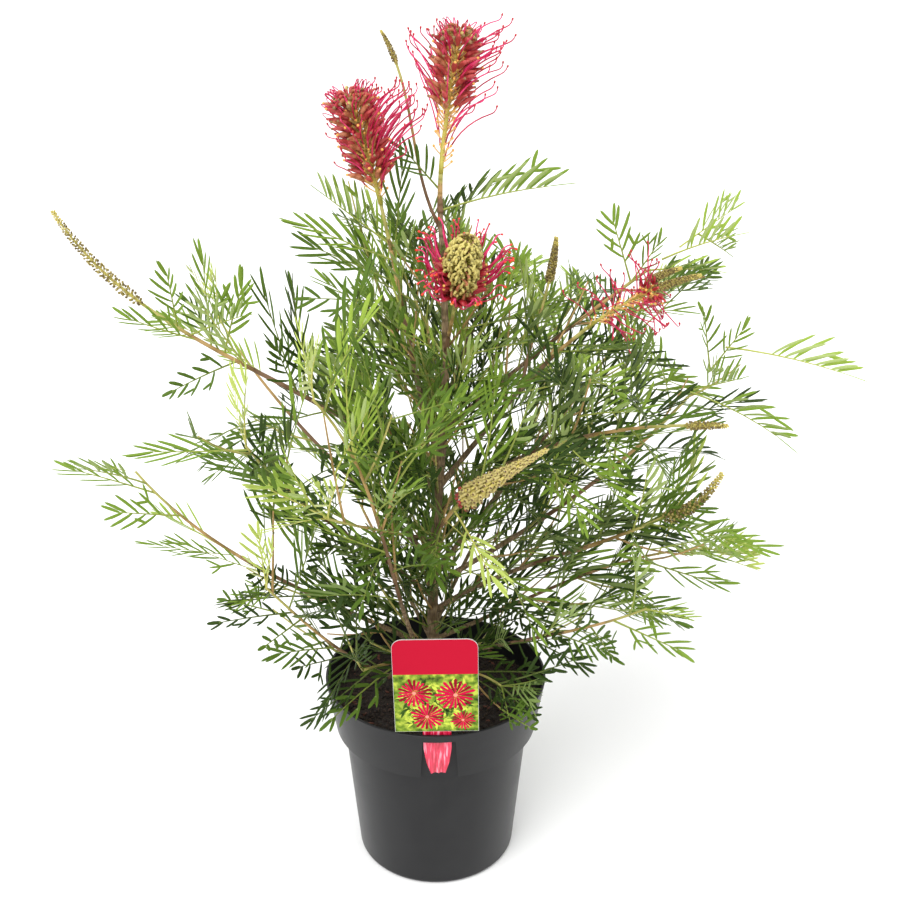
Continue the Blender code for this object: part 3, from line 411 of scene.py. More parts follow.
LABEL_THICKNESS = 0.0008
CARD_WIDTH = 0.072
CARD_HEIGHT = 0.099
CARD_FOOT = 0.1900
CARD_CORNER = 0.009
STAKE_WIDTH = 0.0245
STAKE_TIP_WIDTH = 0.013
STAKE_TIP_HEIGHT = 0.142
LABEL_LEAN = math.radians(6.5)
LABEL_ROLL = math.radians(1.0)
LABEL_OFFSET = -0.0016
HEAD_SHARE = 0.37
PRINT_MARGIN = 0.0003
PRINT_RISE = 0.00012
strap_middle = POT_HEIGHT - STRAP_HEIGHT / 2
label_seat = STRAP_BACK - 0.0003 - LABEL_THICKNESS / 2 - STRAP_HEIGHT / 2 * math.tan(LABEL_LEAN)
stand_up = (Matrix.Translation((CHANNEL_MIDDLE + LABEL_OFFSET, -label_seat, strap_middle))
            @ Matrix.Rotation(math.radians(90) + LABEL_LEAN, 4, "X")
            @ Matrix.Rotation(LABEL_ROLL, 4, "Z")
            @ Matrix.Translation((0.0, CARD_FOOT - strap_middle, 0.0)))


def flat_shape(outline, low, high):
    """A flat plate of an outline, from one level to another."""
    shape = bmesh.new()
    face = shape.faces.new([shape.verts.new((x, y, low)) for x, y in outline])
    grown = bmesh.ops.extrude_face_region(shape, geom=[face])["geom"]
    corners = [item for item in grown if isinstance(item, bmesh.types.BMVert)]
    bmesh.ops.translate(shape, verts=corners, vec=(0, 0, high - low))
    bmesh.ops.recalc_face_normals(shape, faces=shape.faces)
    return shape


def card_outline(margin, low, high):
    """The card's outline between two heights, with a margin; its top corners are round."""
    half = CARD_WIDTH / 2 - margin
    right = [(half, low + (margin if low == 0.0 else 0.0))]
    if high < CARD_HEIGHT:
        right.append((half, high))
    else:
        radius = CARD_CORNER - margin
        for step in range(7):
            turn = math.radians(90 * step / 6)
            right.append((half - radius * (1 - math.cos(turn)),
                          CARD_HEIGHT - margin - radius * (1 - math.sin(turn))))
    return right + [(-x, y) for x, y in reversed(right)]


label_heap = Heap()
front = LABEL_THICKNESS / 2
back = -LABEL_THICKNESS / 2
head_line = CARD_HEIGHT * (1 - HEAD_SHARE)
plates = [
    (card_outline(0.0, 0.0, CARD_HEIGHT), back, front, 0),
    (card_outline(PRINT_MARGIN, head_line, CARD_HEIGHT), front - 0.0001, front + PRINT_RISE, 1),
    (card_outline(PRINT_MARGIN, 0.0, head_line), front - 0.0001, front + PRINT_RISE, 2),
    (card_outline(PRINT_MARGIN, head_line, CARD_HEIGHT), back - PRINT_RISE, back + 0.0001, 1),
]
for outline, low, high, finish in plates:
    plate = pattern_of(flat_shape(outline, low, high))
    label_heap.add(plate, moved(plate[0], stand_up), finish)

# The printed pattern: four flowers with many narrow petals among small pointed leaves
print_dice = random.Random(11)
print_level = front + PRINT_RISE


def print_shape(outline, x, y, turn, size, layer, finish):
    plate = pattern_of(flat_shape(outline, -0.00004, 0.00004 + layer * 0.00003))
    spot = Matrix.Translation((x, y, print_level)) @ Matrix.Rotation(turn, 4, "Z")
    spot = spot @ Matrix.Diagonal((size, size, 1.0, 1.0))
    label_heap.add(plate, moved(plate[0], stand_up @ spot), finish)


leaf_outline = [(0.0, 0.0), (0.25, 0.13), (0.6, 0.12), (1.0, 0.0), (0.6, -0.12), (0.25, -0.13)]
petal_outline = [(0.05, 0.0), (0.50, 0.07), (0.90, 0.09), (1.0, 0.0), (0.90, -0.07), (0.50, -0.06)]
disc_outline = [(math.cos(math.radians(30 * step)), math.sin(math.radians(30 * step)))
                for step in range(12)]
for index in range(130):
    size = print_dice.uniform(0.006, 0.013)
    reach = size + PRINT_MARGIN
    x = print_dice.uniform(-CARD_WIDTH / 2 + reach, CARD_WIDTH / 2 - reach)
    y = print_dice.uniform(reach, head_line - reach)
    print_shape(leaf_outline, x, y, print_dice.uniform(0, 6.28), size, 0, print_dice.choice((3, 4, 4)))
for x, y, size in ((-0.0185, 0.0425, 0.0165), (0.0165, 0.0400, 0.0185), (-0.0080, 0.0165, 0.0158),
                   (0.0225, 0.0125, 0.0115)):
    for petal in range(20):
        turn = math.radians(18 * petal + 900 * size)
        long = size * print_dice.uniform(0.80, 1.0)
        print_shape(petal_outline, x, y, turn, long, 1, print_dice.choice((5, 5, 6)))
    for petal in range(9):
        print_shape(petal_outline, x, y, math.radians(40 * petal + 10), size * 0.5, 2, 5)
    print_shape(disc_outline, x, y, 0.0, size * 0.10, 3, 7)

# The stake: narrow at its tip, and folded along its middle to stiffen it
fall = CARD_FOOT - STAKE_TIP_HEIGHT
stake_rows = [(0.004, STAKE_WIDTH / 2, 0.0), (-0.001, STAKE_WIDTH / 2, 0.2),
              (-fall * 0.40, STAKE_WIDTH / 2, 0.8), (-fall * 0.72, STAKE_WIDTH * 0.42, 1.0),
              (-fall, STAKE_TIP_WIDTH / 2, 1.0)]
stake = bmesh.new()
lines = []
for height, half, fold in stake_rows:
    line = []
    for place, depth in ((-1.0, 0.0020), (-0.45, 0.0), (-0.10, 0.0004), (0.05, 0.0012), (0.30, 0.0),
                         (1.0, 0.0010)):
        line.append(stake.verts.new((half * place, height, back - 0.0007 + depth * fold)))
    lines.append([stake.edges.new(pair) for pair in zip(line, line[1:])])
for upper, lower in zip(lines, lines[1:]):
    bmesh.ops.bridge_loops(stake, edges=upper + lower)
bmesh.ops.recalc_face_normals(stake, faces=stake.faces)
bmesh.ops.solidify(stake, geom=stake.faces[:], thickness=0.0006)
stake_pattern = pattern_of(stake)
label_heap.add(stake_pattern, moved(stake_pattern[0], stand_up), 8)
label_mesh = label_heap.mesh("plant_label")

card_white = Finish("white_card", (0.620, 0.600, 0.600), 0.30, Coat_Weight=0.3)
print_red = Finish("printed_crimson", (0.470, 0.004, 0.026), 0.40, Specular_IOR_Level=0.08)
print_garden = Finish("printed_garden_green", (0.150, 0.270, 0.020), 0.40, Specular_IOR_Level=0.08)
blotches = print_garden.place.grain(160, 4)
print_garden.feed("Base Color", blotches.node("ShaderNodeValToRGB", {"stops": (
    (0.30, (0.020, 0.045, 0.008)), (0.48, (0.160, 0.260, 0.022)), (0.66, (0.480, 0.560, 0.070)),
)}, {0: blotches}))
print_dark_leaf = Finish("printed_dark_leaf", (0.040, 0.090, 0.012), 0.40, Specular_IOR_Level=0.08)
print_light_leaf = Finish("printed_light_leaf", (0.560, 0.660, 0.080), 0.40, Specular_IOR_Level=0.08)
print_rose = Finish("printed_rose_petal", (0.560, 0.004, 0.050), 0.40, Specular_IOR_Level=0.08)
print_deep_rose = Finish("printed_deep_petal", (0.250, 0.002, 0.016), 0.40, Specular_IOR_Level=0.08)
print_cream = Finish("printed_cream_eye", (0.850, 0.300, 0.220), 0.40, Specular_IOR_Level=0.08)
stake_red = Finish("glossy_red_stake", (0.700, 0.012, 0.060), 0.14, Coat_Weight=0.5)
# Lengthwise streaks from deep red to pale pink in the stake's colour: painted highlights and painted shade
# of its glossy fold
painted_gloss_streaks = stake_red.place.grain(420, 2, (1.0, 1.0, 0.06))
stake_red.feed("Base Color", painted_gloss_streaks.node("ShaderNodeValToRGB", {"stops": (
    (0.40, (0.480, 0.004, 0.030)), (0.55, (0.760, 0.020, 0.080)), (0.68, (0.900, 0.330, 0.420)),
)}, {0: painted_gloss_streaks}))
show("plant_label", label_mesh, [
    card_white, print_red, print_garden, print_dark_leaf, print_light_leaf, print_rose,
    print_deep_rose, print_cream, stake_red], ["label"])


# The trunk and the boughs: one stem with a root flare, and the limbs that leave it, in thin brown
# bark with lengthwise furrows. Each limb follows the same line as its solid, and its bare part is
# modelled here up to where it enters its own foliage.

TRUNK_FOOT_X = 0.001
TRUNK_LEAN = 0.0055
TRUNK_TOP = 0.617
TRUNK_SWAY = Vector((0.0045, 0.003))
TRUNK_DIAMETER = 0.0115
TRUNK_TOP_DIAMETER = 0.0044
ROOT_FLARE = 0.006
ROOT_FLARE_HEIGHT = 0.010
TIP_DIAMETER = 0.0020
COLLAR_SWELL = 0.35
COLLAR_LENGTH = 0.010
PATH_STEPS = 32
GOLDEN_ANGLE = math.radians(137.5)
FORK = "fork"
RING_SPACING = 0.0028
FURROW_DEPTH = 0.00035

# Each limb: root height on the trunk, or the limb and share it leaves; heading at foot and tip;
# rise at foot, middle and tip; length; diameter; share that is bare; share at which its leaves
# end and a spike or bloom begins; and the size of its leaves.
LIMBS = {
    "left_long": (0.368, (178, 178), (52, 29, 63), 0.404, 0.0056, 0.34, 0.74, 0.95),
    "left_mid": (0.264, (206, 206), (49, 44, 59), 0.245, 0.0044, 0.38, 1.0, 1.0),
    "left_low": (0.208, (191, 183), (34, 34, 56), 0.322, 0.0050, 0.36, 1.0, 1.0),
    "left_lowest": (0.171, (214, 217), (22, 46, 53), 0.234, 0.0040, 0.35, 1.0, 1.0),
    "front_left": (0.183, (254, 225), (40, 71, 49), 0.376, 0.0046, 0.38, 1.0, 0.95),
    "bloom_left": (0.398, (196, 196), (72, 80, 68), 0.334, 0.0050, 0.30, 0.70, 0.9),
    "bloom_right": (0.375, (352, 349), (53, 48, 15), 0.297, 0.0052, 0.46, 0.66, 0.9),
    "right_upper": (0.428, (13, 14), (40, 35, 32), 0.305, 0.0046, 0.32, 1.0, 0.95),
    "right_long": (0.276, (7, 5), (30, 39, 61), 0.354, 0.0054, 0.34, 1.0, 1.0),
    "right_mid": (0.345, (355, 307), (51, 25, 16), 0.302, 0.0048, 0.36, 0.86, 0.95),
    "right_low": (0.248, (8, -31), (36, 25, 58), 0.302, 0.0050, 0.34, 0.76, 1.0),
    "right_lower": (0.219, (6, -8), (21, 26, 8), 0.257, 0.0042, 0.38, 1.0, 1.0),
    "right_lowest": (0.195, (335, 340), (33, 24, 34), 0.221, 0.0040, 0.36, 1.0, 1.0),
    "front_bud": (0.300, (270, 326), (56, 42, 38), 0.253, 0.0044, 0.22, 0.53, 0.9),
    "front_shoot": (0.322, (246, 232), (30, 28, 31), 0.180, 0.0030, 0.0, 1.0, 0.9),
    "rim_left": (0.198, (226, 232), (20, 15, -25), 0.160, 0.0030, 0.0, 1.0, 0.9),
    "rim_right": (0.180, (312, 315), (38, 22, -10), 0.095, 0.0028, 0.0, 1.0, 0.8),
    "upright": (("bloom_right", 0.40), (60, 60), (72, 56, 83), 0.132, 0.0032, 0.0, 0.70, 0.8),
    "bloom_mid": (0.501, (285, 285), (56, 60, 55), 0.137, 0.0036, 0.0, 0.42, 0.0),
    "leader": (FORK, (0, 0), (92, 82, 82), 0.148, 0.0042, 0.0, 0.21, 0.6),
    "leader_side": (0.603, (150, 140), (54, 78, 47), 0.163, 0.0028, 0.0, 0.82, 0.45),
    "back_left_high": (0.420, (128, 122), (52, 50, 58), 0.250, 0.0044, 0.34, 1.0, 1.0),
    "back_right_high": (0.452, (58, 62), (52, 48, 55), 0.240, 0.0044, 0.34, 1.0, 1.0),
    "back_mid": (0.335, (92, 96), (46, 40, 52), 0.320, 0.0050, 0.36, 1.0, 1.0),
    "back_left": (0.300, (146, 140), (34, 32, 48), 0.320, 0.0050, 0.36, 1.0, 1.0),
    "back_right": (0.285, (44, 40), (36, 34, 46), 0.330, 0.0050, 0.36, 1.0, 1.0),
    "back_low_left": (0.215, (118, 116), (26, 24, 36), 0.270, 0.0042, 0.38, 1.0, 1.0),
    "back_low_right": (0.230, (66, 62), (28, 25, 34), 0.280, 0.0042, 0.38, 1.0, 1.0),
}


def trunk_point(height):
    share = (height - SOIL_TOP) / (TRUNK_TOP - SOIL_TOP)
    return Vector((
        TRUNK_FOOT_X + TRUNK_LEAN * share + TRUNK_SWAY.x * math.sin(2 * math.pi * (share - 0.47)),
        TRUNK_SWAY.y * math.sin(2 * math.pi * share),
        height))


def trunk_diameter(height):
    share = (height - SOIL_TOP) / (TRUNK_TOP - SOIL_TOP)
    flare = ROOT_FLARE * math.exp(-(height - SOIL_TOP) / ROOT_FLARE_HEIGHT)
    return TRUNK_DIAMETER + share * (TRUNK_TOP_DIAMETER - TRUNK_DIAMETER) + flare


class Limb:
    """The line a limb follows, in even steps from its root to its tip, and its sizes."""

    def __init__(self, name, grown):
        root, self.heading, self.rise, self.length, self.diameter, *shares = LIMBS[name]
        self.bare, self.leafy, self.leaf = shares
        self.name = name
        if root == FORK:
            start = trunk_point(TRUNK_TOP)
        elif isinstance(root, tuple):
            start = grown[root[0]].at(root[1])
        else:
            start = trunk_point(root)
        self.points = [start]
        for index in range(PATH_STEPS):
            step = self.course((index + 0.5) / PATH_STEPS) * (self.length / PATH_STEPS)
            self.points.append(self.points[-1] + step)

    def course(self, share):
        low, middle, high = (math.radians(angle) for angle in self.rise)
        rise = (low * (1 - share) * (1 - 2 * share) + 4 * middle * share * (1 - share)
                + high * share * (2 * share - 1))
        heading = math.radians(self.heading[0] + (self.heading[1] - self.heading[0]) * share)
        return Vector((math.cos(rise) * math.cos(heading), math.cos(rise) * math.sin(heading),
                       math.sin(rise)))

    def at(self, share):
        place_on = min(max(share, 0.0), 1.0) * PATH_STEPS
        index = min(int(place_on), PATH_STEPS - 1)
        return self.points[index].lerp(self.points[index + 1], place_on - index)

    def direction(self, share):
        reach = 0.5 / PATH_STEPS
        return (self.at(share + reach) - self.at(share - reach)).normalized()

    def radius(self, share):
        taper = self.diameter + share * (TIP_DIAMETER - self.diameter)
        return taper / 2 * (1 + COLLAR_SWELL * math.exp(-share * self.length / COLLAR_LENGTH))


def draw_out(places, sizes, sides, up=None):
    """A closed limb: a ring of corners at the first place, extruded on through the others.

    Sizes are half widths and half depths. The flat side of a flattened limb looks up.
    """
    shape = bmesh.new()
    ring = bmesh.ops.create_circle(shape, cap_ends=True, segments=sides, radius=1.0)["verts"]
    corners = {corner: index for index, corner in enumerate(ring)}
    end = shape.faces[:][0]
    across = None
    for index, (place, (half_width, half_depth)) in enumerate(zip(places, sizes)):
        ahead = (places[min(index + 1, len(places) - 1)] - places[max(index - 1, 0)]).normalized()
        if across is None:
            side = up if up is not None else Vector((0.3, 0.9, 0.1))
            across = side.cross(ahead).normalized()
        across = (across - ahead * across.dot(ahead)).normalized()
        raised = ahead.cross(across)
        if index:
            grown = bmesh.ops.extrude_face_region(shape, geom=[end])["geom"]
            end = next(item for item in grown if isinstance(item, bmesh.types.BMFace))
            fresh = {}
            for corner in end.verts:
                fresh[corner] = next(corners[edge.other_vert(corner)] for edge in corner.link_edges
                                     if edge.other_vert(corner) in corners)
            corners = fresh
        for corner, number in corners.items():
            turn = 2 * math.pi * number / sides
            corner.co = (place + across * (half_width * math.cos(turn))
                         + raised * (half_depth * math.sin(turn)))
    bmesh.ops.recalc_face_normals(shape, faces=shape.faces)
    return shape


def furrowed(shape, middle_of, depth):
    """Press lengthwise furrows and a faint fine grain into a limb, from its middle line."""
    for corner in shape.verts:
        middle, along = middle_of(corner.co)
        out = corner.co - middle
        stretched = corner.co - along * corner.co.dot(along) * 0.88
        furrow = noise.noise(stretched * 1500) + 0.5 * noise.noise(corner.co * 900)
        corner.co += out.normalized() * (furrow * depth)


grown_limbs = {}
for name in LIMBS:
    grown_limbs[name] = Limb(name, grown_limbs)

bark_heap = Heap()
heights = [SOIL_TOP - 0.004]
while heights[-1] < TRUNK_TOP - RING_SPACING:
    heights.append(heights[-1] + RING_SPACING)
heights.append(TRUNK_TOP)
trunk_sizes = [(trunk_diameter(max(height, SOIL_TOP)) / 2,) * 2 for height in heights]
trunk_shape = draw_out([trunk_point(height) for height in heights], trunk_sizes, 18)
furrowed(trunk_shape, lambda spot: (trunk_point(spot.z), Vector((0, 0, 1))), FURROW_DEPTH)
bark_heap.add(pattern_of(trunk_shape))
for name, limb in grown_limbs.items():
    if not limb.bare:
        continue
    count = round(limb.bare * limb.length / RING_SPACING)
    shares = [limb.bare * 1.02 * index / count for index in range(count + 1)]
    places = [limb.at(share) for share in shares]
    bough = draw_out(places, [(limb.radius(share),) * 2 for share in shares], 12)
    middles = [(limb.at(share), limb.direction(share)) for share in shares]
    furrowed(bough, lambda spot: min(middles, key=lambda pair: (pair[0] - spot).length),
             FURROW_DEPTH * 0.6)
    bark_heap.add(pattern_of(bough))
bark_mesh = bark_heap.mesh("trunk_and_boughs")
bark_mesh.shade_smooth()

bark = Finish("thin_brown_bark", (0.150, 0.080, 0.045), 0.75)
streaks = bark.place.grain(900, 4, (1.0, 1.0, 0.14))
patches = bark.place.grain(60, 3)
brown = streaks.node("ShaderNodeValToRGB", {"stops": (
    (0.28, (0.070, 0.042, 0.018)), (0.50, (0.195, 0.128, 0.058)), (0.74, (0.400, 0.300, 0.160)),
)}, {0: streaks})
bark.feed("Base Color", (patches * 1.4 - 0.45).blend(brown, (0.235, 0.165, 0.105, 1.0)))
bark.emboss(streaks, 0.0006)
show("trunk_and_boughs", bark_mesh, [bark],
     ["trunk"] + ["bough_" + name for name, limb in grown_limbs.items() if limb.bare])


# The leaves: comb-like, with a slender rib and pairs of strap-shaped lobes raised on both sides of
# it. They are dark to yellow-green above and pale beneath, and grow round every limb and side twig
# by the golden angle. A few patterns are modelled, then bent and laid one by one.

LEAF_LENGTH = 0.125
LOBE_HALF_DEPTH = 0.00040
LOBE_STATIONS = (0.0, 0.16, 0.55, 0.88, 1.0)
LOBE_SHAPE = (0.45, 0.85, 1.00, 0.75, 0.15)
PATTERNS_OF_A_KIND = 10
LEAF_STEP = 0.0185
TWIG_LENGTHS = (0.050, 0.090)
TWIG_LEAVES = 4
LEAF_ANGLE = math.radians(50)
CROWN_MIDDLE = Vector((0.010, 0.006, 0.410))
CROWN_RADII = Vector((0.350, 0.268, 0.290))
THINNING_LEFT = 0.96
THINNING_RIGHT = 0.58
LEAN_OF_STEP = 1.1
# Painted shade: leaves below SHADE_TOP take darker tones towards the pot, and so do leaves in the dense room
# right of the stem
SHADE_TOP = 0.33
DENSE_MIDDLE = Vector((0.110, -0.020, 0.395))
DENSE_RADII = Vector((0.110, 0.160, 0.110))
TO_THE_LIGHT = Vector((0.0, -0.35, 0.75))
CARD_ROOM = 0.012
EYE = np.array((0.0134, -0.9974, 0.8299))

# The crown's edge and the openings in it as they show from in front, where the line of sight meets
# the upright plane through the stem: mm across and up, and for an opening its radius
CROWN_EDGE = np.array([
    (17, 628), (26, 652), (47, 674), (69, 674), (102, 644), (49, 628), (47, 602), (84, 590), (133, 574),
    (136, 625), (190, 612), (178, 580), (197, 578), (198, 634), (222, 635), (253, 617), (250, 603),
    (219, 592), (243, 577), (240, 549), (226, 545), (256, 533), (263, 514), (238, 495), (269, 497),
    (295, 530), (337, 504), (353, 472), (262, 480), (290, 457), (300, 428), (250, 415), (268, 348),
    (306, 291), (238, 293), (253, 250), (226, 201), (196, 223), (173, 216), (165, 193), (113, 184),
    (98, 117), (-118, 109), (-125, 160), (-110, 180), (-136, 208), (-159, 205), (-148, 240),
    (-189, 221), (-203, 230), (-202, 260), (-178, 291), (-241, 304), (-234, 334), (-278, 345),
    (-278, 366), (-326, 386), (-320, 412), (-291, 410), (-258, 408), (-212, 443), (-221, 474),
    (-191, 486), (-183, 500), (-246, 518), (-310, 606), (-254, 563), (-222, 556), (-218, 590),
    (-182, 592), (-153, 570), (-150, 540), (-131, 490), (-142, 567), (-98, 573), (-118, 602),
    (-96, 635), (-56, 645), (-38, 640), (-25, 668), (-13, 673), (2, 662), (3, 637),
]) / 1000
OPENINGS = np.array([
    (207, 511, 17), (-94, 537, 11), (-181, 333, 10), (-14, 634, 10), (-190, 445, 13), (139, 587, 20),
    (169, 582, 13), (49, 617, 18), (-188, 290, 17), (-150, 237, 15), (-245, 320, 12), (-229, 379, 11),
    (-132, 505, 15), (-216, 562, 12), (198, 218, 18), (-202, 484, 15), (-100, 617, 13), (299, 430, 12),
    (231, 595, 15), (-224, 468, 10), (-261, 402, 9), (-277, 347, 14), (275, 484, 12), (301, 482, 10),
    (250, 287, 17), (-138, 205, 12), (240, 343, 12), (236, 534, 10), (-150, 540, 12), (-181, 372, 11),
    (-148, 466, 11), (-98, 432, 13), (-72, 350, 11), (217, 281, 14), (34, 302, 12), (28, 412, 9),
    (-27, 452, 10), (-108, 396, 11), (-135, 308, 10),
]) / 1000

# Kinds of leaf: lobe pairs, lobe length, lobe half width, angle at the foot, share of bare stalk,
# how many of the lower lobes are forked, and the angles to which the lobes are raised
KINDS = {
    "broad": ((4, 5, 5), 0.036, 0.00185, 48, (0.16, 0.26), 0.50, (10, 60)),
    "long": ((4, 4, 5), 0.054, 0.00165, 35, (0.18, 0.28), 0.25, (10, 60)),
    "fine": ((4, 5, 5), 0.040, 0.00120, 34, (0.20, 0.30), 0.15, (10, 60)),
    "raised": ((4, 5, 5), 0.050, 0.00165, 48, (0.22, 0.34), 0.20, (60, 78)),
}

# Upper side, lower side and rib of the leaves of a spray, from old and shaded to just opened
TONES = (
    ("dark", (0.030, 0.058, 0.009), (0.120, 0.165, 0.050), (0.110, 0.145, 0.038)),
    ("deep", (0.082, 0.145, 0.018), (0.195, 0.270, 0.080), (0.200, 0.250, 0.050)),
    ("middle", (0.175, 0.275, 0.034), (0.300, 0.390, 0.130), (0.310, 0.360, 0.080)),
    ("fresh", (0.290, 0.410, 0.060), (0.400, 0.500, 0.180), (0.420, 0.450, 0.100)),
    ("young", (0.430, 0.520, 0.120), (0.540, 0.600, 0.260), (0.550, 0.530, 0.140)),
)
KINDS_OF_TONE = (("broad", "broad", "long"), ("broad", "long", "long"), ("long",),
                 ("long",), ("long", "long", "fine"))


def lobe_places(foot, heading, length, rise, bend):
    """The line of a lobe from the rib: heading and rise in radians, bending towards the tip."""
    places = []
    spot = Vector(foot)
    previous = 0.0
    for station in LOBE_STATIONS:
        turn = heading * (1 - bend * station)
        step = (station - previous) * length
        spot = spot + Vector((math.cos(turn) * step, math.sin(turn) * math.cos(rise) * step,
                              abs(math.sin(turn)) * math.sin(rise) * step))
        places.append(spot.copy())
        previous = station
    return places


def blade_pattern(places, half_width, up):
    """A lobe: a closed strap with a blunt end, green above (0) and pale below (1)."""
    sizes = [(half_width * size, LOBE_HALF_DEPTH * min(1.0, size + 0.3)) for size in LOBE_SHAPE]
    blade = draw_out(places, sizes, 4, up)
    for face in blade.faces:
        face.material_index = 0 if face.normal.dot(up) > 0 else 1
    return pattern_of(blade)


def leaf_pattern(kind, raise_share, dice):
    """One leaf along +X with its upper side up, as a pattern for a Heap."""
    pair_counts, lobe_length, half_width, foot_angle, bare_range, forked, raised = KINDS[kind]
    rise = math.radians(raised[0] + (raised[1] - raised[0]) * raise_share)
    heap = Heap()
    pairs = dice.choice(pair_counts)
    bare = dice.uniform(*bare_range)
    rib_places = [Vector((LEAF_LENGTH * 0.93 * index / 5 - 0.002, 0, 0)) for index in range(6)]
    rib_sizes = [((0.0010 - 0.00012 * index) * (0.7 if kind == "fine" else 1.0),) * 2
                 for index in range(6)]
    heap.add(pattern_of(draw_out(rib_places, rib_sizes, 4, Vector((0, 0, 1)))), finish=2)
    for pair in range(pairs):
        share = (pair + 0.5) / pairs
        for side in (-1, 1):
            along = bare + (0.92 - bare) * (share + side * 0.24 / pairs + dice.uniform(-0.03, 0.03))
            length = lobe_length * (0.80 + 0.62 * share - 0.85 * share * share) * dice.uniform(0.8, 1.12)
            heading = side * math.radians(foot_angle - 22 * share) * dice.uniform(0.82, 1.18)
            foot = Vector((LEAF_LENGTH * along, 0, 0))
            up = Vector((0, -side * math.sin(rise), math.cos(rise)))
            lobes = [(foot, heading, length)]
            if share < 0.55 and dice.random() < forked:
                middle = lobe_places(foot, heading, length, rise, 0.3)[2]
                lobes.append((middle, heading - side * 0.65, length * dice.uniform(0.50, 0.70)))
                if dice.random() < 0.4:
                    lobes.append((middle, heading + side * 0.55, length * 0.45))
            for start, way, reach in lobes:
                places = lobe_places(start, way, reach, rise, 0.3)
                heap.add(blade_pattern(places, half_width * dice.uniform(0.85, 1.15), up))
    end = Vector((LEAF_LENGTH * 0.90, 0, 0))
    places = lobe_places(end, dice.uniform(-0.2, 0.2), lobe_length * 0.62, 0.0, 0.2)
    heap.add(blade_pattern(places, half_width, Vector((0, 0, 1))))
    return np.concatenate(heap.points), np.concatenate(heap.faces), np.concatenate(heap.finishes)


def leaf_frame(root, along, up):
    across = up.cross(along).normalized()
    turn = Matrix((along, across, along.cross(across))).transposed().to_4x4()
    return Matrix.Translation(root) @ turn


def sideways(stem, azimuth, angle):
    """A direction that leaves a stem at an angle, turned round it by the azimuth."""
    level = stem.cross(Vector((0, 0, 1)))
    level = level.normalized() if level.length > 0.05 else Vector((1, 0, 0))
    other = level.cross(stem)
    radial = level * math.cos(azimuth) + other * math.sin(azimuth)
    return (stem * math.cos(angle) + radial * math.sin(angle)).normalized()


def seen_from_front(points):
    """Where points show on the upright plane through the stem, across and up."""
    share = EYE[1] / (EYE[1] - points[:, 1])
    return EYE[0] + (points[:, 0] - EYE[0]) * share, EYE[2] + (points[:, 2] - EYE[2]) * share


def inside_edge(across, up):
    """Which of these places lie inside the crown's edge."""
    inside = np.zeros(len(across), bool)
    for (x0, z0), (x1, z1) in zip(CROWN_EDGE, np.roll(CROWN_EDGE, -1, axis=0)):
        if z0 != z1:
            crossed = (z0 > up) != (z1 > up)
            inside ^= crossed & (across < (x1 - x0) * (up - z0) / (z1 - z0) + x0)
    return inside


# The heads of flowers and buds, which leaves leave in view: limb, shares, and half width
heads = []
for name, low, high, room in (
    ("leader", 0.50, 1.0, 0.030), ("bloom_left", 0.75, 1.0, 0.026), ("bloom_mid", 0.45, 1.0, 0.028),
    ("bloom_right", 0.70, 1.0, 0.020), ("front_bud", 0.50, 1.0, 0.016), ("upright", 0.72, 1.0, 0.009),
    ("right_low", 0.78, 1.0, 0.010), ("right_mid", 0.88, 1.0, 0.008), ("left_long", 0.76, 1.0, 0.010),
    ("leader_side", 0.60, 1.0, 0.008),
):
    for index in range(6):
        spot = np.array([grown_limbs[name].at(low + (high - low) * index / 5)])
        x, z = seen_from_front(spot)
        heads.append((x[0], z[0], room, spot[0, 1]))


def fits(points, free):
    """Whether a leaf keeps to the crown, off the pot, the mix and the card, and off the heads."""
    x, y, z = points.T
    out = np.hypot(x, y)
    wall = np.interp(z, (0.0, COLLAR_FOOT_HEIGHT - 0.001, COLLAR_FOOT_HEIGHT, POT_HEIGHT + 0.003), (
        wall_inside(0.0), wall_inside(COLLAR_FOOT_HEIGHT - 0.001), wall_inside(COLLAR_FOOT_HEIGHT),
        wall_inside(POT_HEIGHT + 0.003))) - 0.002
    low = z < POT_HEIGHT + 0.003
    in_pot = low & (out < wall)
    if np.any(in_pot & (z < SOIL_TOP + 0.003)) or np.any(low & ~in_pot & (out < RIM_RADIUS + 0.003)):
        return False
    if np.any(low & ~in_pot & (z < 0.05)):
        return False
    card = (np.abs(x - CHANNEL_MIDDLE) < CARD_WIDTH / 2 + CARD_ROOM) & (y < -STRAP_BACK + CARD_ROOM)
    if np.any(card & (z < CARD_FOOT + CARD_HEIGHT + CARD_ROOM * 1.5)):
        return False
    if free:
        return True
    offset = (points - np.array(CROWN_MIDDLE)) / np.array(CROWN_RADII)
    if np.any((offset ** 2).sum(axis=1) > 1.0):
        return False
    across, up = seen_from_front(points)
    if np.mean(~inside_edge(across, up)) > 0.04:
        return False
    for spot_x, spot_z, room in OPENINGS:
        near = (across - spot_x) ** 2 + (up - spot_z) ** 2 < room ** 2
        if np.mean(near) > 0.02:
            return False
    for spot_x, spot_z, room, depth in heads:
        near = (across - spot_x) ** 2 + (up - spot_z) ** 2 < room ** 2
        if np.any(near & (y < depth + room)):
            return False
    return True


leaf_dice = random.Random(21)
leaf_patterns = {}
for kind in KINDS:
    leaf_patterns[kind] = [
        leaf_pattern(kind, index / (PATTERNS_OF_A_KIND - 1), leaf_dice)
        for index in range(PATTERNS_OF_A_KIND)]
leaf_heaps = [Heap() for tone in TONES]
twig_heap = Heap()
STEM_BROWN, STEM_TAN, STEM_GREEN = range(3)


def out_from(place, middle, radii):
    """How far out a place lies in a rounded room: 0 at its middle and 1 at its edge."""
    return math.sqrt(sum(((place[i] - middle[i]) / radii[i]) ** 2 for i in range(3)))


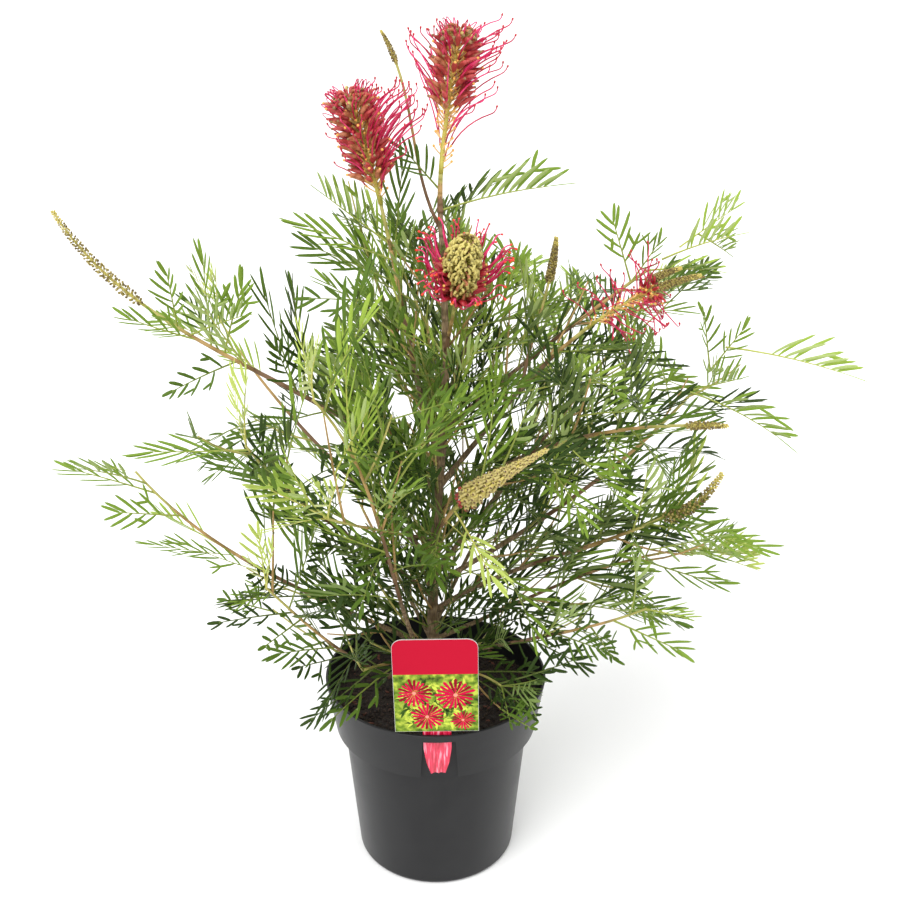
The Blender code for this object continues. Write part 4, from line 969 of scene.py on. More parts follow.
def lay_leaf(root, along, up, length, tone, dice, free=None):
    """Lay one leaf, bent its own way, if it fits. A free leaf comes with its kind.

    In the dense part of the crown, right of the stem, every other leaf takes a tone two steps darker:
    painted shade.
    """
    kind = free or dice.choice(KINDS_OF_TONE[tone])
    pattern = leaf_patterns[kind][dice.randrange(PATTERNS_OF_A_KIND)]
    size = length / (LEAF_LENGTH * 1.17)
    wide = max(size, 0.92) if kind != "fine" else size
    points = pattern[0] * np.array([size, wide * dice.uniform(0.9, 1.1), wide])
    x = points[:, 0]
    turn = dice.uniform(-5.0, 5.0) * x * (0.3 if free else 1.0)
    curl = (1.0 if free else 1.6) * (1.6 if kind == "fine" else 1.0)
    y, z = points[:, 1].copy(), points[:, 2].copy()
    points[:, 1] = y * np.cos(turn) - z * np.sin(turn) + dice.uniform(-curl, curl) * x ** 2
    points[:, 2] = y * np.sin(turn) + z * np.cos(turn) - dice.uniform(0.2, 0.8 + curl) * x ** 2
    points = moved(points, leaf_frame(root, along, up))
    if not fits(points[::3], bool(free)):
        return False
    # Painted shade: in the dense part of the crown, right of the stem, a leaf may be laid two tones darker
    every_other = sum(len(heap.points) for heap in leaf_heaps) % 2
    if every_other and not free and out_from(root, DENSE_MIDDLE, DENSE_RADII) < 1:
        tone = max(0, tone - 2)
    leaf_heaps[tone].add(pattern, points)
    return True


def leaf_somewhere(root, stem, azimuth, angle, length, tone, dice):
    """A leaf at a node; where it has no room it is turned, then made smaller."""
    for size in (1.0, 0.78, 0.6):
        for turn in (0, 45, -45, 95, -95, 180):
            along = sideways(stem, azimuth + math.radians(turn), angle)
            along = (along + Vector((0, 0, dice.uniform(0.0, 0.35)))).normalized()
            outward = Vector((root.x, root.y, 0.0)).normalized()
            up = stem * 0.45 + outward * 0.25 + TO_THE_LIGHT
            if abs(up.normalized().dot(along)) > 0.95:
                up = stem
            if lay_leaf(root, along, up, length * size, tone, dice):
                return True
    return False


def far_out(place):
    """How far out a place lies in the crown."""
    return out_from(place, CROWN_MIDDLE, CROWN_RADII)


def shade_at(place):
    """How much a place low in the crown is shaded: 0 from SHADE_TOP up, and 1 near the pot."""
    return min(1.0, max(0.0, (SHADE_TOP - place.z) / 0.14))


def tone_for(place, dice):
    """Darker tones inside, low down and on the left, lighter ones outside and on top: partly the leaves'
    age, and partly painted shade, deepest low down near the pot.
    """
    age = 1.5 + far_out(place) * 1.4 + 2.0 * place.x + dice.uniform(-1.6, 1.3) - 2.5 * shade_at(place)
    return min(4, max(0, int(age)))


def thinned(place, dice):
    """Whether a place goes without a leaf: the crown is more open at its edge and on its left."""
    chance = THINNING_LEFT if place.x < 0 else THINNING_RIGHT
    return dice.random() < chance * min(1.0, max(0.0, (far_out(place) - 0.4) / 0.4))


def lay_twig(root, stem, azimuth, leaf_size, dice, tone=None):
    """A side twig with leaves round it and at its tip."""
    along = sideways(stem, azimuth, math.radians(dice.uniform(32, 50)))
    length = dice.uniform(*TWIG_LENGTHS)
    places = [root + along * length * share + Vector((0, 0, 0.22)) * length * share * share
              for share in (0.0, 0.25, 0.5, 0.75, 1.0)]
    if not fits(np.array(places[2:]), False):
        return False
    sizes = [(0.0012 - 0.00055 * share,) * 2 for share in (0.0, 0.25, 0.5, 0.75, 1.0)]
    finish = dice.choice((STEM_TAN, STEM_GREEN))
    tone = tone_for(places[-1], dice) if tone is None else tone
    turn = dice.uniform(0, 6.28)
    laid = 0
    for index in range(TWIG_LEAVES):
        share = 0.25 + 0.70 * index / (TWIG_LEAVES - 1)
        place = root + along * length * share + Vector((0, 0, 0.22)) * length * share * share
        turn += GOLDEN_ANGLE
        angle = math.radians(52 - 26 * share)
        if index == TWIG_LEAVES - 1 or not thinned(place, dice):
            size = leaf_size * dice.uniform(0.75, 1.0)
            laid += leaf_somewhere(place, along, turn, angle, size, tone, dice)
    if laid:
        twig_heap.add(pattern_of(draw_out(places, sizes, 5)), finish=finish)
    return laid > 0


for number, (name, limb) in enumerate(grown_limbs.items()):
    dice = random.Random(300 + number)
    leaf_size = 0.126 * limb.leaf
    leafed_to = limb.leafy if limb.leafy < 1.0 else limb.bare + 0.1
    reach = 0.030
    azimuth = dice.uniform(0, 6.28)
    index = 0
    while limb.leaf and reach < limb.leafy * limb.length - 0.004:
        share = reach / limb.length
        root, stem = limb.at(share), limb.direction(share)
        azimuth += GOLDEN_ANGLE
        laid = index % 3 == 1 and lay_twig(root, stem, azimuth, leaf_size, dice)
        if not laid and not thinned(root, dice):
            laid = leaf_somewhere(root, stem, azimuth, LEAF_ANGLE, leaf_size * dice.uniform(0.8, 1.1),
                                  tone_for(root + stem * 0.05, dice), dice)
        if laid:
            leafed_to = max(leafed_to, share)
        reach += LEAF_STEP * (1.0 - LEAN_OF_STEP * root.x) * dice.uniform(0.8, 1.2)
        index += 1
    if limb.leafy == 1.0:
        for extra in range(4):
            # Tip leaves of limbs that end low near the pot take darker tones: painted shade
            tone = round((4 if extra else 3) * (1.0 - shade_at(limb.at(1.0))))
            if leaf_somewhere(limb.at(0.995), limb.direction(1.0), azimuth + extra * GOLDEN_ANGLE,
                              math.radians(14 + 8 * extra), leaf_size * (0.85 - 0.1 * extra), tone,
                              dice):
                leafed_to = 1.0
    shares = [limb.bare + (leafed_to - limb.bare) * index / 14 for index in range(15)]
    for low, high, finish in ((0, 6, STEM_BROWN), (5, 11, STEM_TAN), (10, 14, STEM_GREEN)):
        places = [limb.at(share) for share in shares[low:high + 1]]
        sizes = [(limb.radius(share),) * 2 for share in shares[low:high + 1]]
        twig_heap.add(pattern_of(draw_out(places, sizes, 7)), finish=finish)

# Short leafy shoots on the trunk itself, which fill the middle. Below SHADE_TOP their leaves take darker
# tones: painted shade.
trunk_dice = random.Random(40)
height = SOIL_TOP + 0.045
azimuth = 0.0
while height < TRUNK_TOP - 0.03:
    azimuth += GOLDEN_ANGLE
    tone = trunk_dice.choice((0, 0, 1) if height < SHADE_TOP else (0, 1, 2, 2))
    lay_twig(trunk_point(height), Vector((0, 0, 1)), azimuth, 0.092, trunk_dice, tone)
    height += 0.009

# Leaves round the trunk's foot, in the two darkest tones: painted shade low in the crown
for index in range(26):
    leaf_somewhere(trunk_point(SOIL_TOP + 0.034 + 0.004 * index), Vector((0, 0, 1)), index * GOLDEN_ANGLE,
                   math.radians(64), 0.088, index % 2, trunk_dice)

# Leaves that stand clear of the rest of the crown: limb, share, heading, rise, length, tone, kind
for number, (name, share, heading, rise, length, tone, kind) in enumerate((
    ("leader", 0.01, 0, 19, 0.112, 2, "raised"),
    ("leader", 0.12, 180, 48, 0.055, 1, "long"),
    ("right_upper", 0.78, 350, 28, 0.075, 3, "raised"),
    ("right_upper", 0.67, 180, 72, 0.069, 2, "long"),
    ("right_upper", 0.67, 0, 56, 0.052, 2, "long"),
    ("right_upper", 0.84, 36, 22, 0.085, 3, "raised"),
    ("right_upper", 0.90, 0, -29, 0.037, 2, "raised"),
    ("right_long", 0.96, 350, -4, 0.122, 3, "raised"),
    ("right_long", 0.82, 339, -12, 0.104, 2, "raised"),
    ("right_long", 0.83, 335, 23, 0.051, 2, "raised"),
    ("right_long", 0.89, 180, 79, 0.063, 2, "long"),
    ("right_long", 0.89, 0, 56, 0.057, 2, "long"),
    ("right_mid", 0.48, 326, 46, 0.077, 0, "broad"),
    ("right_low", 0.76, 338, -12, 0.105, 2, "long"),
    ("right_low", 0.69, 331, 34, 0.074, 1, "long"),
    ("right_low", 0.72, 339, -4, 0.083, 2, "raised"),
    ("right_lower", 0.79, 334, -8, 0.092, 2, "long"),
    ("right_lower", 0.72, 300, -26, 0.080, 2, "long"),
    ("right_lower", 0.24, 307, 9, 0.038, 0, "broad"),
    ("right_lowest", 0.85, 322, -5, 0.080, 2, "long"),
    ("right_lowest", 0.75, 289, -5, 0.060, 1, "long"),
    ("right_lowest", 0.48, 340, -17, 0.064, 0, "long"),
    ("right_lowest", 0.37, 326, 22, 0.062, 0, "broad"),
    ("right_lowest", 0.24, 330, 59, 0.080, 0, "long"),
    ("right_lowest", 0.15, 340, 30, 0.085, 0, "broad"),
    ("right_lowest", 0.60, 318, 6, 0.060, 1, "long"),
    ("right_lower", 0.30, 330, -20, 0.070, 0, "broad"),
    ("right_low", 0.60, 350, 30, 0.085, 1, "long"),
    ("front_bud", 0.46, 300, -24, 0.090, 4, "long"),
    ("front_bud", 0.36, 330, -30, 0.084, 4, "fine"),
    ("front_bud", 0.30, 262, -4, 0.080, 3, "fine"),
    ("left_long", 0.66, 256, 80, 0.060, 2, "long"),
    ("left_long", 0.63, 341, 27, 0.068, 2, "raised"),
    ("left_long", 0.61, 196, 20, 0.075, 2, "long"),
    ("left_long", 0.56, 160, 60, 0.060, 1, "long"),
    ("left_long", 0.58, 178, 88, 0.092, 2, "long"),
    ("left_long", 0.55, 331, 73, 0.080, 2, "long"),
    ("left_long", 0.38, 180, 74, 0.112, 1, "long"),
    ("left_long", 0.36, 112, 77, 0.108, 1, "long"),
    ("left_long", 0.38, 255, 49, 0.078, 1, "long"),
    ("left_long", 0.31, 254, 57, 0.097, 0, "long"),
    ("left_long", 0.52, 205, -14, 0.075, 1, "broad"),
    ("left_mid", 0.98, 187, 0, 0.100, 2, "long"),
    ("left_low", 0.92, 180, 20, 0.092, 2, "long"),
    ("left_low", 0.83, 215, 18, 0.070, 2, "long"),
    ("left_low", 0.64, 214, 20, 0.095, 2, "fine"),
    ("left_low", 0.53, 200, 27, 0.108, 2, "fine"),
    ("left_low", 0.44, 207, 32, 0.060, 0, "broad"),
    ("left_lowest", 0.83, 198, 4, 0.078, 0, "broad"),
    ("left_lowest", 0.78, 245, 4, 0.065, 1, "broad"),
    ("left_lowest", 0.56, 214, 16, 0.070, 1, "long"),
    ("left_lowest", 0.49, 218, 7, 0.060, 0, "broad"),
    ("bloom_left", 0.60, 180, 38, 0.080, 2, "raised"),
    ("bloom_left", 0.50, 187, 28, 0.095, 1, "long"),
    ("bloom_left", 0.45, 190, 8, 0.095, 1, "broad"),
    ("bloom_left", 0.56, 195, 24, 0.094, 2, "long"),
    ("bloom_left", 0.55, 0, 85, 0.097, 1, "long"),
    ("rim_left", 0.50, 205, -34, 0.092, 0, "broad"),
    ("rim_left", 0.30, 220, -14, 0.104, 1, "broad"),
    ("rim_left", 0.49, 214, 47, 0.055, 0, "broad"),
    ("rim_right", 0.60, 346, 12, 0.082, 0, "broad"),
    ("rim_right", 0.50, 318, -8, 0.080, 0, "broad"),
    ("rim_right", 0.80, 324, -16, 0.058, 0, "broad"),
)):
    heading, rise = math.radians(heading), math.radians(rise)
    along = Vector((math.cos(rise) * math.cos(heading), math.cos(rise) * math.sin(heading),
                    math.sin(rise)))
    up = Vector((0.0, 0.0, 1.0)) if kind == "raised" else Vector((0.0, -1.0, 0.6))
    dice = random.Random(900 + number)
    if not lay_leaf(grown_limbs[name].at(share), along, up, length, tone, dice, kind):
        print("LEAVES none for", name, share)

foliage_nodes = ["foliage_" + name for name, limb in grown_limbs.items() if limb.leaf]
for (tone, upper, lower, rib), heap in zip(TONES, leaf_heaps):
    finishes = [Finish(tone + "_leaf_upper", upper, 0.50, Specular_IOR_Level=0.12),
                Finish(tone + "_leaf_under", lower, 0.65, Specular_IOR_Level=0.06),
                Finish(tone + "_leaf_rib", rib, 0.50, Specular_IOR_Level=0.12)]
    show("leaves_" + tone, heap.mesh("leaves_" + tone), finishes, foliage_nodes)
    print("LEAVES", tone, len(heap.points), sum(len(f) for f in heap.faces))

twig_mesh = twig_heap.mesh("twigs")
twig_mesh.shade_smooth()
stem_brown = Finish("brown_twig_bark", (0.180, 0.098, 0.045), 0.65)
stem_tan = Finish("tan_twig_bark", (0.400, 0.250, 0.085), 0.60)
stem_green = Finish("green_twig", (0.380, 0.350, 0.090), 0.55)
show("twigs", twig_mesh, [stem_brown, stem_tan, stem_green])


# The blooms: upright heads of many small flowers round a yellow-green stalk. Each flower is a
# plump dusky-red tube that stands up from a yellowish stem, with a long crimson style that sweeps
# out and hooks up to a red knob. Those at the top are still closed; those at the foot have dropped.

# Each bloom: flowers, how much of the limb's end its open head takes, the shares of the head at
# which the spent flowers end, the styles end and the closed flowers begin, style length, and how
# much longer its styles are on the right than on the left
BLOOMS = {
    "leader": (165, 0.93, 0.40, 0.92, 0.85, 0.056, 0.0),
    "bloom_left": (165, 0.87, 0.12, 0.90, 0.84, 0.048, 0.4),
    "bloom_mid": (290, 0.82, 0.03, 0.50, 0.42, 0.048, 0.0),
    "bloom_right": (96, 0.60, 0.76, 1.00, 1.00, 0.044, 0.0),
}
EGG_HALF = 0.0150
TUBE_LENGTH = 0.0155
TUBE_WIDTHS = (0.0009, 0.0019, 0.0024, 0.0022, 0.0016, 0.0009)
TUBE_DEPTHS = (0.0009, 0.0017, 0.0020, 0.0018, 0.0013, 0.0008)
STYLE_HALF = 0.00056
SWEEP = Vector((0.40, -0.05, -0.04))

bloom_heap = Heap()
(ROSE_TUBE, DUSKY_TUBE, BRONZE_TUBE, BUFF_TUBE, NECTARY, STYLE_PINK, STYLE_CRIMSON, KNOB, BUD_END,
 STALK, PEDICEL, SPENT_PEDICEL, BRIGHT_KNOB, DEEP_TUBE) = range(14)


def add_round(places, halves, sides, finish):
    bloom_heap.add(pattern_of(draw_out(places, [(half, half) for half in halves], sides)), finish=finish)


def arc(start, first, second, length, steps):
    """Places along a line that sets out one way and bends to another."""
    places = [start]
    for index in range(steps):
        share = (index + 0.5) / steps
        way = (first.normalized() * (1 - share) + second.normalized() * share).normalized()
        places.append(places[-1] + way * (length / steps))
    return places


def add_ball(place, along, long, wide, finish):
    side = along.orthogonal().normalized()
    turn = Matrix((along, side, along.cross(side))).transposed().to_4x4()
    stretch = Matrix.Diagonal((long, wide, wide, 1.0))
    bloom_heap.add(ball, moved(ball[0], Matrix.Translation(place) @ turn @ stretch), finish=finish)


ball_shape = bmesh.new()
bmesh.ops.create_uvsphere(ball_shape, u_segments=6, v_segments=4, radius=1.0)
ball = pattern_of(ball_shape)


def hoop(foot, end, out, dice):
    """A style whose end is still held by its flower, so that it stands out as a loop."""
    loop = [foot.lerp(end, step / 8) + out * math.sin(math.pi * step / 8) for step in range(9)]
    add_round(loop, [0.00040] * 9, 4, dice.choice((STYLE_PINK, STYLE_CRIMSON, STYLE_CRIMSON)))


def closed_flower(root, axis, radial, size, dice, finish):
    """A flower in bud: its tube curls over to a brown end, and its style may loop out."""
    stem = arc(root, radial + axis * 0.7, radial * 0.7 + axis, 0.0058 * size, 2)
    add_round(stem, [0.0006 * size] * 3, 4, PEDICEL)
    tube = arc(stem[-1], radial * 0.35 + axis, radial * 1.2 - axis * 0.8, 0.0088 * size, 5)
    halves = [0.0009, 0.0013, 0.0015, 0.0014, 0.0012, 0.0010]
    add_round(tube, [half * size for half in halves], 6, finish)
    add_ball(tube[-1], (tube[-1] - tube[-2]).normalized(), 0.0015 * size, 0.0013 * size, BUD_END)
    if dice.random() < 0.8:
        hoop(stem[-1], tube[-1], (radial * 0.8 + axis).normalized() * (0.0100 * size), dice)


def packed_flower(root, axis, radial, head, dice, finish):
    """A closed flower of the young head: a slim buff tube that lies along the egg it forms."""
    half = EGG_HALF * math.sqrt(max(0.0, 1 - ((head - 0.40) / 0.64) ** 2)) * dice.uniform(0.92, 1.06)
    stem = arc(root, radial + axis * 0.5, radial + axis * 0.9, half, 2)
    add_round(stem, [0.0007] * 3, 4, STALK)
    around = axis.cross(radial) * dice.uniform(-0.9, 0.9)
    tube = arc(stem[-1], radial * 0.9 + axis * 0.7 + around, axis * 0.3 - radial - around * 1.5,
               0.0125 - 0.0050 * head, 5)
    add_round(tube, [0.0006, 0.0009, 0.0011, 0.0011, 0.0009, 0.0007], 6, finish)
    add_ball(tube[-1], (tube[-1] - tube[-2]).normalized(), 0.0013, 0.0010,
             BUD_END if dice.random() < head * 0.8 else finish)


def open_flower(base, axis, radial, size, dice, finishes):
    """A flower's tube: plump near its foot, and bent out to a small blunt end."""
    first = radial * 0.75 + axis * dice.uniform(0.65, 0.95)
    second = radial * 0.85 + axis * dice.uniform(0.05, 0.45)
    tube = arc(base, first, second, TUBE_LENGTH * size * dice.uniform(0.82, 1.1), 5)
    sizes = [(width * size, depth * size) for width, depth in zip(TUBE_WIDTHS, TUBE_DEPTHS)]
    bloom_heap.add(pattern_of(draw_out(tube, sizes, 8, axis)), finish=dice.choice(finishes))
    add_ball(tube[-1], (tube[-1] - tube[-2]).normalized(), 0.0013, 0.0011,
             dice.choice((NECTARY, BUD_END, ROSE_TUBE)))
    return tube[-1]


def style(places, half, finish, knob, knob_size):
    halves = [half * (1.20 - 0.045 * step) for step in range(len(places))]
    add_round(places, halves, 4, finish)
    add_ball(places[-1], (places[-1] - places[-2]).normalized(), knob_size * 1.5, knob_size, knob)


def swept_style(base, axis, radial, length, top, dice):
    """A style of an upright head: it leans to the light, and hooks up near its end."""
    way = radial * 0.8 + axis * dice.uniform(0.30, 0.80) + SWEEP * (1.0 if radial.x > 0 else 0.3)
    rise = way.normalized().z * length * 0.85
    if base.z + rise > top:
        length *= max(0.45, (top - base.z) / rise)
    places = arc(base, radial * 0.5 + axis, way, length * 0.84, 6)
    hook = axis + radial * dice.uniform(-0.4, 0.5) + Vector((0, 0, 0.5))
    places += arc(places[-1], way, hook, length * 0.16, 3)[1:]
    style(places, STYLE_HALF, dice.choice((STYLE_PINK, STYLE_CRIMSON, STYLE_CRIMSON)), KNOB, 0.00085)


def curled_style(base, axis, radial, length, dice):
    """A style of the young head: stout, upright and curled over at its end."""
    stray = Vector((dice.uniform(-0.3, 0.3), 0, dice.uniform(-0.1, 0.4)))
    places = arc(base, radial * 1.2 + axis * 0.4, radial * 0.35 + axis + stray, length * 0.78, 6)
    over = radial * 0.9 - axis * 0.8 + stray * 1.5
    places += arc(places[-1], radial * 0.2 + axis, over, length * 0.22, 4)[1:]
    style(places, STYLE_HALF * dice.uniform(0.9, 1.35), dice.choice((STYLE_PINK, STYLE_CRIMSON)),
          BRIGHT_KNOB, 0.0010)


def wild_style(base, axis, radial, length, dice):
    """A style of the old head: thin, and bent its own way."""
    stray = Vector((dice.uniform(-0.9, 0.9), dice.uniform(-0.6, 0.6), dice.uniform(-1.0, 0.2)))
    places = arc(base, radial + axis * 0.3, radial + axis * 0.2 + stray, length * 0.85, 6)
    hook = Vector((dice.uniform(-0.5, 0.5), dice.uniform(-0.5, 0.5), 1.0))
    places += arc(places[-1], places[-1] - places[-2], hook, length * 0.15, 3)[1:]
    style(places, STYLE_HALF * 0.92, STYLE_CRIMSON, KNOB, 0.0009)


for number, (name, figures) in enumerate(BLOOMS.items()):
    flowers, open_share, spent_to, styled_to, closed_from, style_length, sided = figures
    limb = grown_limbs[name]
    dice = random.Random(500 + number)
    head_span = (1 - limb.leafy) * open_share
    stalk_half = 0.0021 if name != "bloom_right" else 0.0016
    stalk = [limb.at(limb.leafy + head_span * index / 12) for index in range(13)]
    add_round(stalk, [stalk_half * (1 - 0.04 * index) for index in range(13)], 8, STALK)
    top = stalk[-1].z - 0.007
    azimuth = 0.0
    for index in range(flowers):
        azimuth += GOLDEN_ANGLE + dice.uniform(-0.15, 0.15)
        head = (index + 0.5) / flowers
        share = limb.leafy + head_span * (0.02 + 0.97 * head)
        root, axis = limb.at(share), limb.direction(share)
        radial = sideways(axis, azimuth, math.radians(90))
        towards = radial.y < -0.72
        if name == "bloom_mid" and head > (0.12 if radial.y < -0.2 and radial.x > -0.6 else closed_from):
            finish = BUFF_TUBE if dice.random() < 0.7 + head / 2 else BRONZE_TUBE
            packed_flower(root, axis, radial, head, dice, finish)
            continue
        if head > closed_from:
            age = (head - closed_from) / (1 - closed_from)
            finish = dice.choice((BUFF_TUBE, BRONZE_TUBE, BRONZE_TUBE, ROSE_TUBE))
            closed_flower(root, axis, radial, 1.45 - 0.65 * age, dice, finish)
            continue
        spent = head < spent_to
        if spent and dice.random() > 0.26 + 0.50 * head / spent_to:
            continue
        length = dice.uniform(0.0085, 0.0115) * (0.65 if name == "bloom_right" else 1.0)
        stem = arc(root, radial + axis * 0.55, radial * 0.75 + axis, length, 3)
        add_round(stem, [0.0008, 0.0006, 0.0006, 0.0009], 5, SPENT_PEDICEL if spent else PEDICEL)
        add_ball(stem[-1], axis, 0.0013, 0.0011, NECTARY)
        reach = style_length * dice.uniform(0.75, 1.0) * (1 + sided * radial.x) * (1.1 - 0.3 * head)
        if name == "bloom_right":
            if not spent:
                open_flower(stem[-1], axis, radial, 0.6, dice, (DEEP_TUBE, ROSE_TUBE))
            if dice.random() < 0.85:
                wild_style(stem[-1], axis, radial, reach, dice)
            continue
        if name == "bloom_mid":
            open_flower(stem[-1], axis, radial, 1.0, dice, (DEEP_TUBE, DUSKY_TUBE))
            if dice.random() < 0.6:
                curled_style(stem[-1], axis, radial, reach, dice)
            continue
        if not spent and not (towards and dice.random() < 0.55):
            end = open_flower(stem[-1], axis, radial, 1.0, dice,
                              (ROSE_TUBE, ROSE_TUBE, DUSKY_TUBE, BRONZE_TUBE))
            if head > 0.66 and dice.random() < 0.45:
                hoop(stem[-1], end, (radial * 0.9 + axis).normalized() * 0.012, dice)
                continue
        if head < styled_to and dice.random() < (0.42 if spent or towards else 0.80 + sided * radial.x):
            swept_style(stem[-1], axis, radial, reach, top, dice)

bloom_finishes = [
    Finish("rose_flower_tube", (0.500, 0.064, 0.060), 0.50),
    Finish("dusky_flower_tube", (0.360, 0.036, 0.034), 0.50),
    Finish("bronze_flower_tube", (0.480, 0.165, 0.075), 0.50),
    Finish("buff_flower_tube", (0.600, 0.510, 0.150), 0.55),
    Finish("orange_nectary", (0.850, 0.450, 0.100), 0.35),
    Finish("pink_style", (0.800, 0.040, 0.180), 0.40),
    Finish("crimson_style", (0.560, 0.010, 0.080), 0.40),
    Finish("dark_red_knob", (0.480, 0.016, 0.026), 0.40),
    Finish("brown_bud_end", (0.260, 0.150, 0.060), 0.50),
    Finish("yellow_green_stalk", (0.470, 0.420, 0.070), 0.55),
    Finish("yellowish_flower_stem", (0.650, 0.440, 0.130), 0.55),
    Finish("pale_spent_flower_stem", (0.880, 0.580, 0.270), 0.55),
    Finish("orange_red_knob", (0.850, 0.050, 0.018), 0.40),
    Finish("deep_red_flower_tube", (0.420, 0.018, 0.030), 0.45),
]
bloom_mesh = bloom_heap.mesh("blooms")
bloom_mesh.shade_smooth()
show("blooms", bloom_mesh, bloom_finishes,
     ["bloom_leader", "bloom_left", "bloom_mid", "bloom_right"])
print("BLOOMS", len(bloom_mesh.polygons))


# The bud spikes: flower heads still in bud. Most carry round olive-brown buds on short stalks,
# close and yellowish towards the tip. The stout one in front is nearly open: its buds are curled
# buff tubes with brown ends.

# Each spike: width, bud radius, number of buds, and how far its middle sags
SPIKES = {
    "left_long": (0.0118, 0.0013, 190, 0.0),
    "upright": (0.0095, 0.0012, 200, 0.0),
    "right_mid": (0.0085, 0.0011, 110, 0.0),
    "right_low": (0.0135, 0.0014, 210, 0.0065),
    "front_bud": (0.0270, 0.0024, 170, 0.0),
    "leader_side": (0.0060, 0.0009, 110, 0.0),
    "bloom_right": (0.0080, 0.0010, 190, 0.0),
}
SECOND_SPIKE_FOOT = Vector((-0.004, 0.003, 0.006))
SECOND_SPIKE_END = Vector((-0.015, 0.006, 0.004))

spike_heap = Heap()
BUD_STALK, BUD_OLIVE, BUD_DARK, BUD_YELLOW, BUD_BUFF, BUD_BROWN, BUD_RED = range(7)


def add_bud(place, along, long, wide, finish):
    side = along.orthogonal().normalized()
    turn = Matrix((along, side, along.cross(side))).transposed().to_4x4()
    stretch = Matrix.Diagonal((long, wide, wide, 1.0))
    spike_heap.add(ball, moved(ball[0], Matrix.Translation(place) @ turn @ stretch), finish=finish)


def add_stem(places, halves, sides, finish):
    spike_heap.add(pattern_of(draw_out(places, [(half, half) for half in halves], sides)), finish=finish)


def bud_spike(places, width, bud, count, curled, dice):
    """A spike along a line of places."""
    last = len(places) - 1
    add_stem(places, [0.0015 - 0.0009 * index / last for index in range(last + 1)], 6, BUD_STALK)
    azimuth = 0.0
    for index in range(count):
        azimuth += GOLDEN_ANGLE
        head = (index + 0.5) / count
        if not curled:
            head = head ** 0.85
        spot = (0.01 + 0.98 * head) * last
        base = min(int(spot), last - 1)
        root = places[base].lerp(places[base + 1], spot - base)
        axis = (places[min(base + 2, last)] - places[max(base - 1, 0)]).normalized()
        size = bud * (1.0 - 0.45 * head) * dice.uniform(0.9, 1.1)
        if not curled:
            radial = sideways(axis, azimuth, math.radians(dice.uniform(52, 78)))
            out = width / 2 * min(1.0, 0.6 + 4 * head) * (1.0 - 0.60 * head ** 2)
            place = root + radial * max(out - size * 0.9, 0.0006)
            add_stem([root, place], [0.00035, 0.00035], 4, BUD_STALK)
            finish = BUD_YELLOW if head > dice.uniform(0.72, 0.98) else dice.choice(
                (BUD_OLIVE, BUD_OLIVE, BUD_DARK))
            add_bud(place, radial, size * 1.2, size, finish)
            continue
        radial = sideways(axis, azimuth, math.radians(dice.uniform(60, 80)))
        out = width / 2 * min(1.0, 0.75 + 3 * head) * (1.0 - 0.86 * head)
        top = root + radial * max(out - size, 0.0010)
        tube = arc(root.lerp(top, 0.3), radial, (axis * 0.8 - radial * 0.5).normalized(),
                   max(out, 0.003) * 1.1, 4)
        add_stem(tube, [size * 0.45, size * 0.55, size * 0.6, size * 0.6, size * 0.5], 5,
                 dice.choice((BUD_BUFF, BUD_BUFF, BUD_YELLOW)))
        red = head < 0.10 and dice.random() < 0.5
        add_bud(top, radial, size * 0.95, size * 0.9, BUD_RED if red else BUD_BUFF)
        add_bud(top + radial * size * 0.62, radial, size * 0.5, size * 0.5, BUD_BROWN)


for number, (name, (width, bud, count, sag)) in enumerate(SPIKES.items()):
    limb = grown_limbs[name]
    dice = random.Random(700 + number)
    start = limb.leafy
    if name in BLOOMS:
        start = limb.leafy + (1 - limb.leafy) * BLOOMS[name][1]
    places = [limb.at(start + (1 - start) * index / 12)
              - Vector((0, 0, sag * math.sin(math.pi * index / 12))) for index in range(13)]
    bud_spike(places, width, bud, count, name == "front_bud", dice)
    if name in BLOOMS:
        second = [place + SECOND_SPIKE_FOOT.lerp(SECOND_SPIKE_END, index / 12)
                  for index, place in enumerate(places)]
        bud_spike(second, width, bud, count, False, dice)

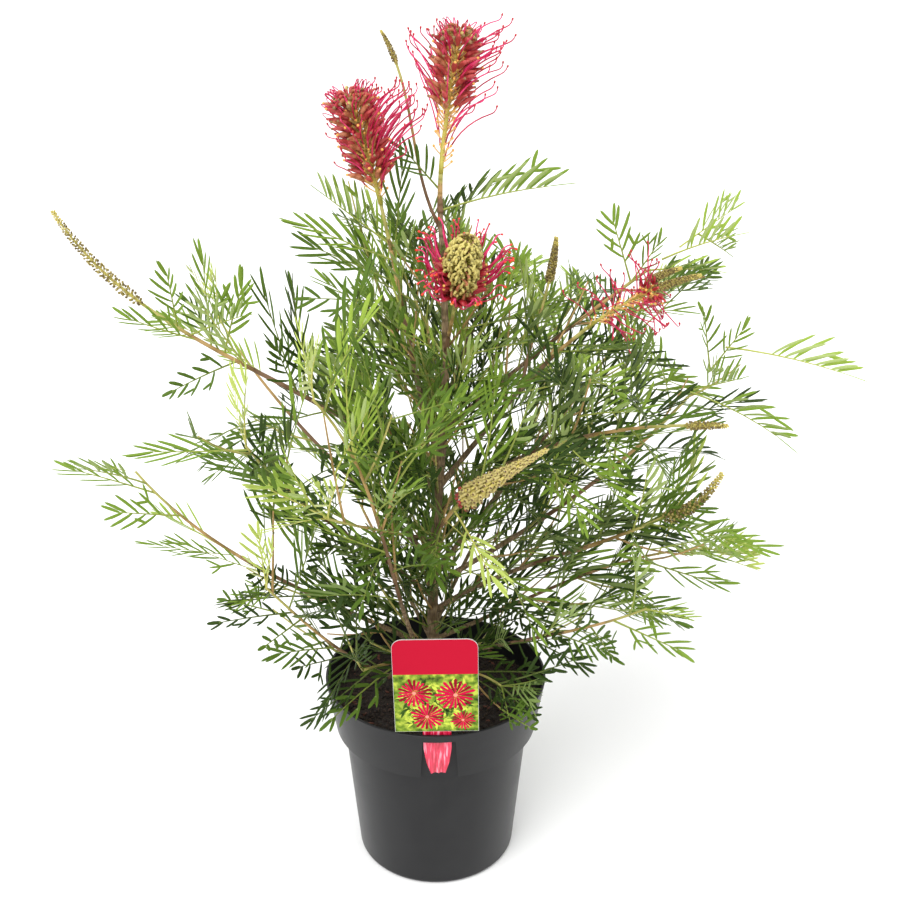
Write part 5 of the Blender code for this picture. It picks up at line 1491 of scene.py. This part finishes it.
spike_mesh = spike_heap.mesh("bud_spikes")
spike_mesh.shade_smooth()
spike_finishes = [
    Finish("yellow_green_bud_stalk", (0.540, 0.480, 0.110), 0.60),
    Finish("olive_bud", (0.320, 0.250, 0.070), 0.62),
    Finish("dark_olive_bud", (0.155, 0.110, 0.035), 0.62),
    Finish("yellowish_bud", (0.600, 0.500, 0.130), 0.60),
    Finish("buff_bud", (0.540, 0.450, 0.165), 0.60),
    Finish("brown_bud_tip", (0.130, 0.065, 0.025), 0.60),
    Finish("red_young_bud", (0.400, 0.040, 0.040), 0.55),
]
show("bud_spikes", spike_mesh, spike_finishes,
     ["buds_left_long", "buds_right_low", "buds_front_bud"])
print("SPIKES", len(spike_mesh.polygons))


# The studio: a plain pale floor, even white surroundings and soft suns from in front and above,
# under a camera that looks a little down on the plant from in front.

floor_shape = bmesh.new()
bmesh.ops.create_grid(floor_shape, x_segments=1, y_segments=1, size=40.0)
floor = bpy.data.objects.new("floor", to_mesh(floor_shape, "floor"))
bpy.context.scene.collection.objects.link(floor)
floor.data.materials.append(Finish("pale_floor", (0.92, 0.92, 0.92), 0.95).material)

world = bpy.data.worlds.new("soft_white_surroundings")
world.use_nodes = True
world.node_tree.nodes["Background"].inputs["Color"].default_value = (1.0, 1.0, 1.0, 1.0)
world.node_tree.nodes["Background"].inputs["Strength"].default_value = 0.75
bpy.context.scene.world = world
bpy.context.scene.view_settings.view_transform = "Standard"
for name, place, spread, power in (
    ("front_light", (-0.9, -1.5, 2.2), 45, 2.5),
    ("right_light", (1.8, -0.9, 1.6), 70, 0.7),
    ("back_light", (0.3, 2.0, 1.8), 70, 0.5),
):
    lamp = bpy.data.lights.new(name, "SUN")
    lamp.angle = math.radians(spread)
    lamp.energy = power
    light = bpy.data.objects.new(name, lamp)
    light.location = place
    light.rotation_euler = (-Vector(place)).to_track_quat("-Z", "Y").to_euler()
    bpy.context.scene.collection.objects.link(light)

camera = bpy.data.objects.new("camera", bpy.data.cameras.new("camera"))
camera.data.lens = 50
camera.data.sensor_width = 36
camera.location = (0.0134, -0.9974, 0.8299)
camera.rotation_euler = (math.radians(67.19), 0.0, 0.0)
bpy.context.scene.collection.objects.link(camera)
bpy.context.scene.camera = camera
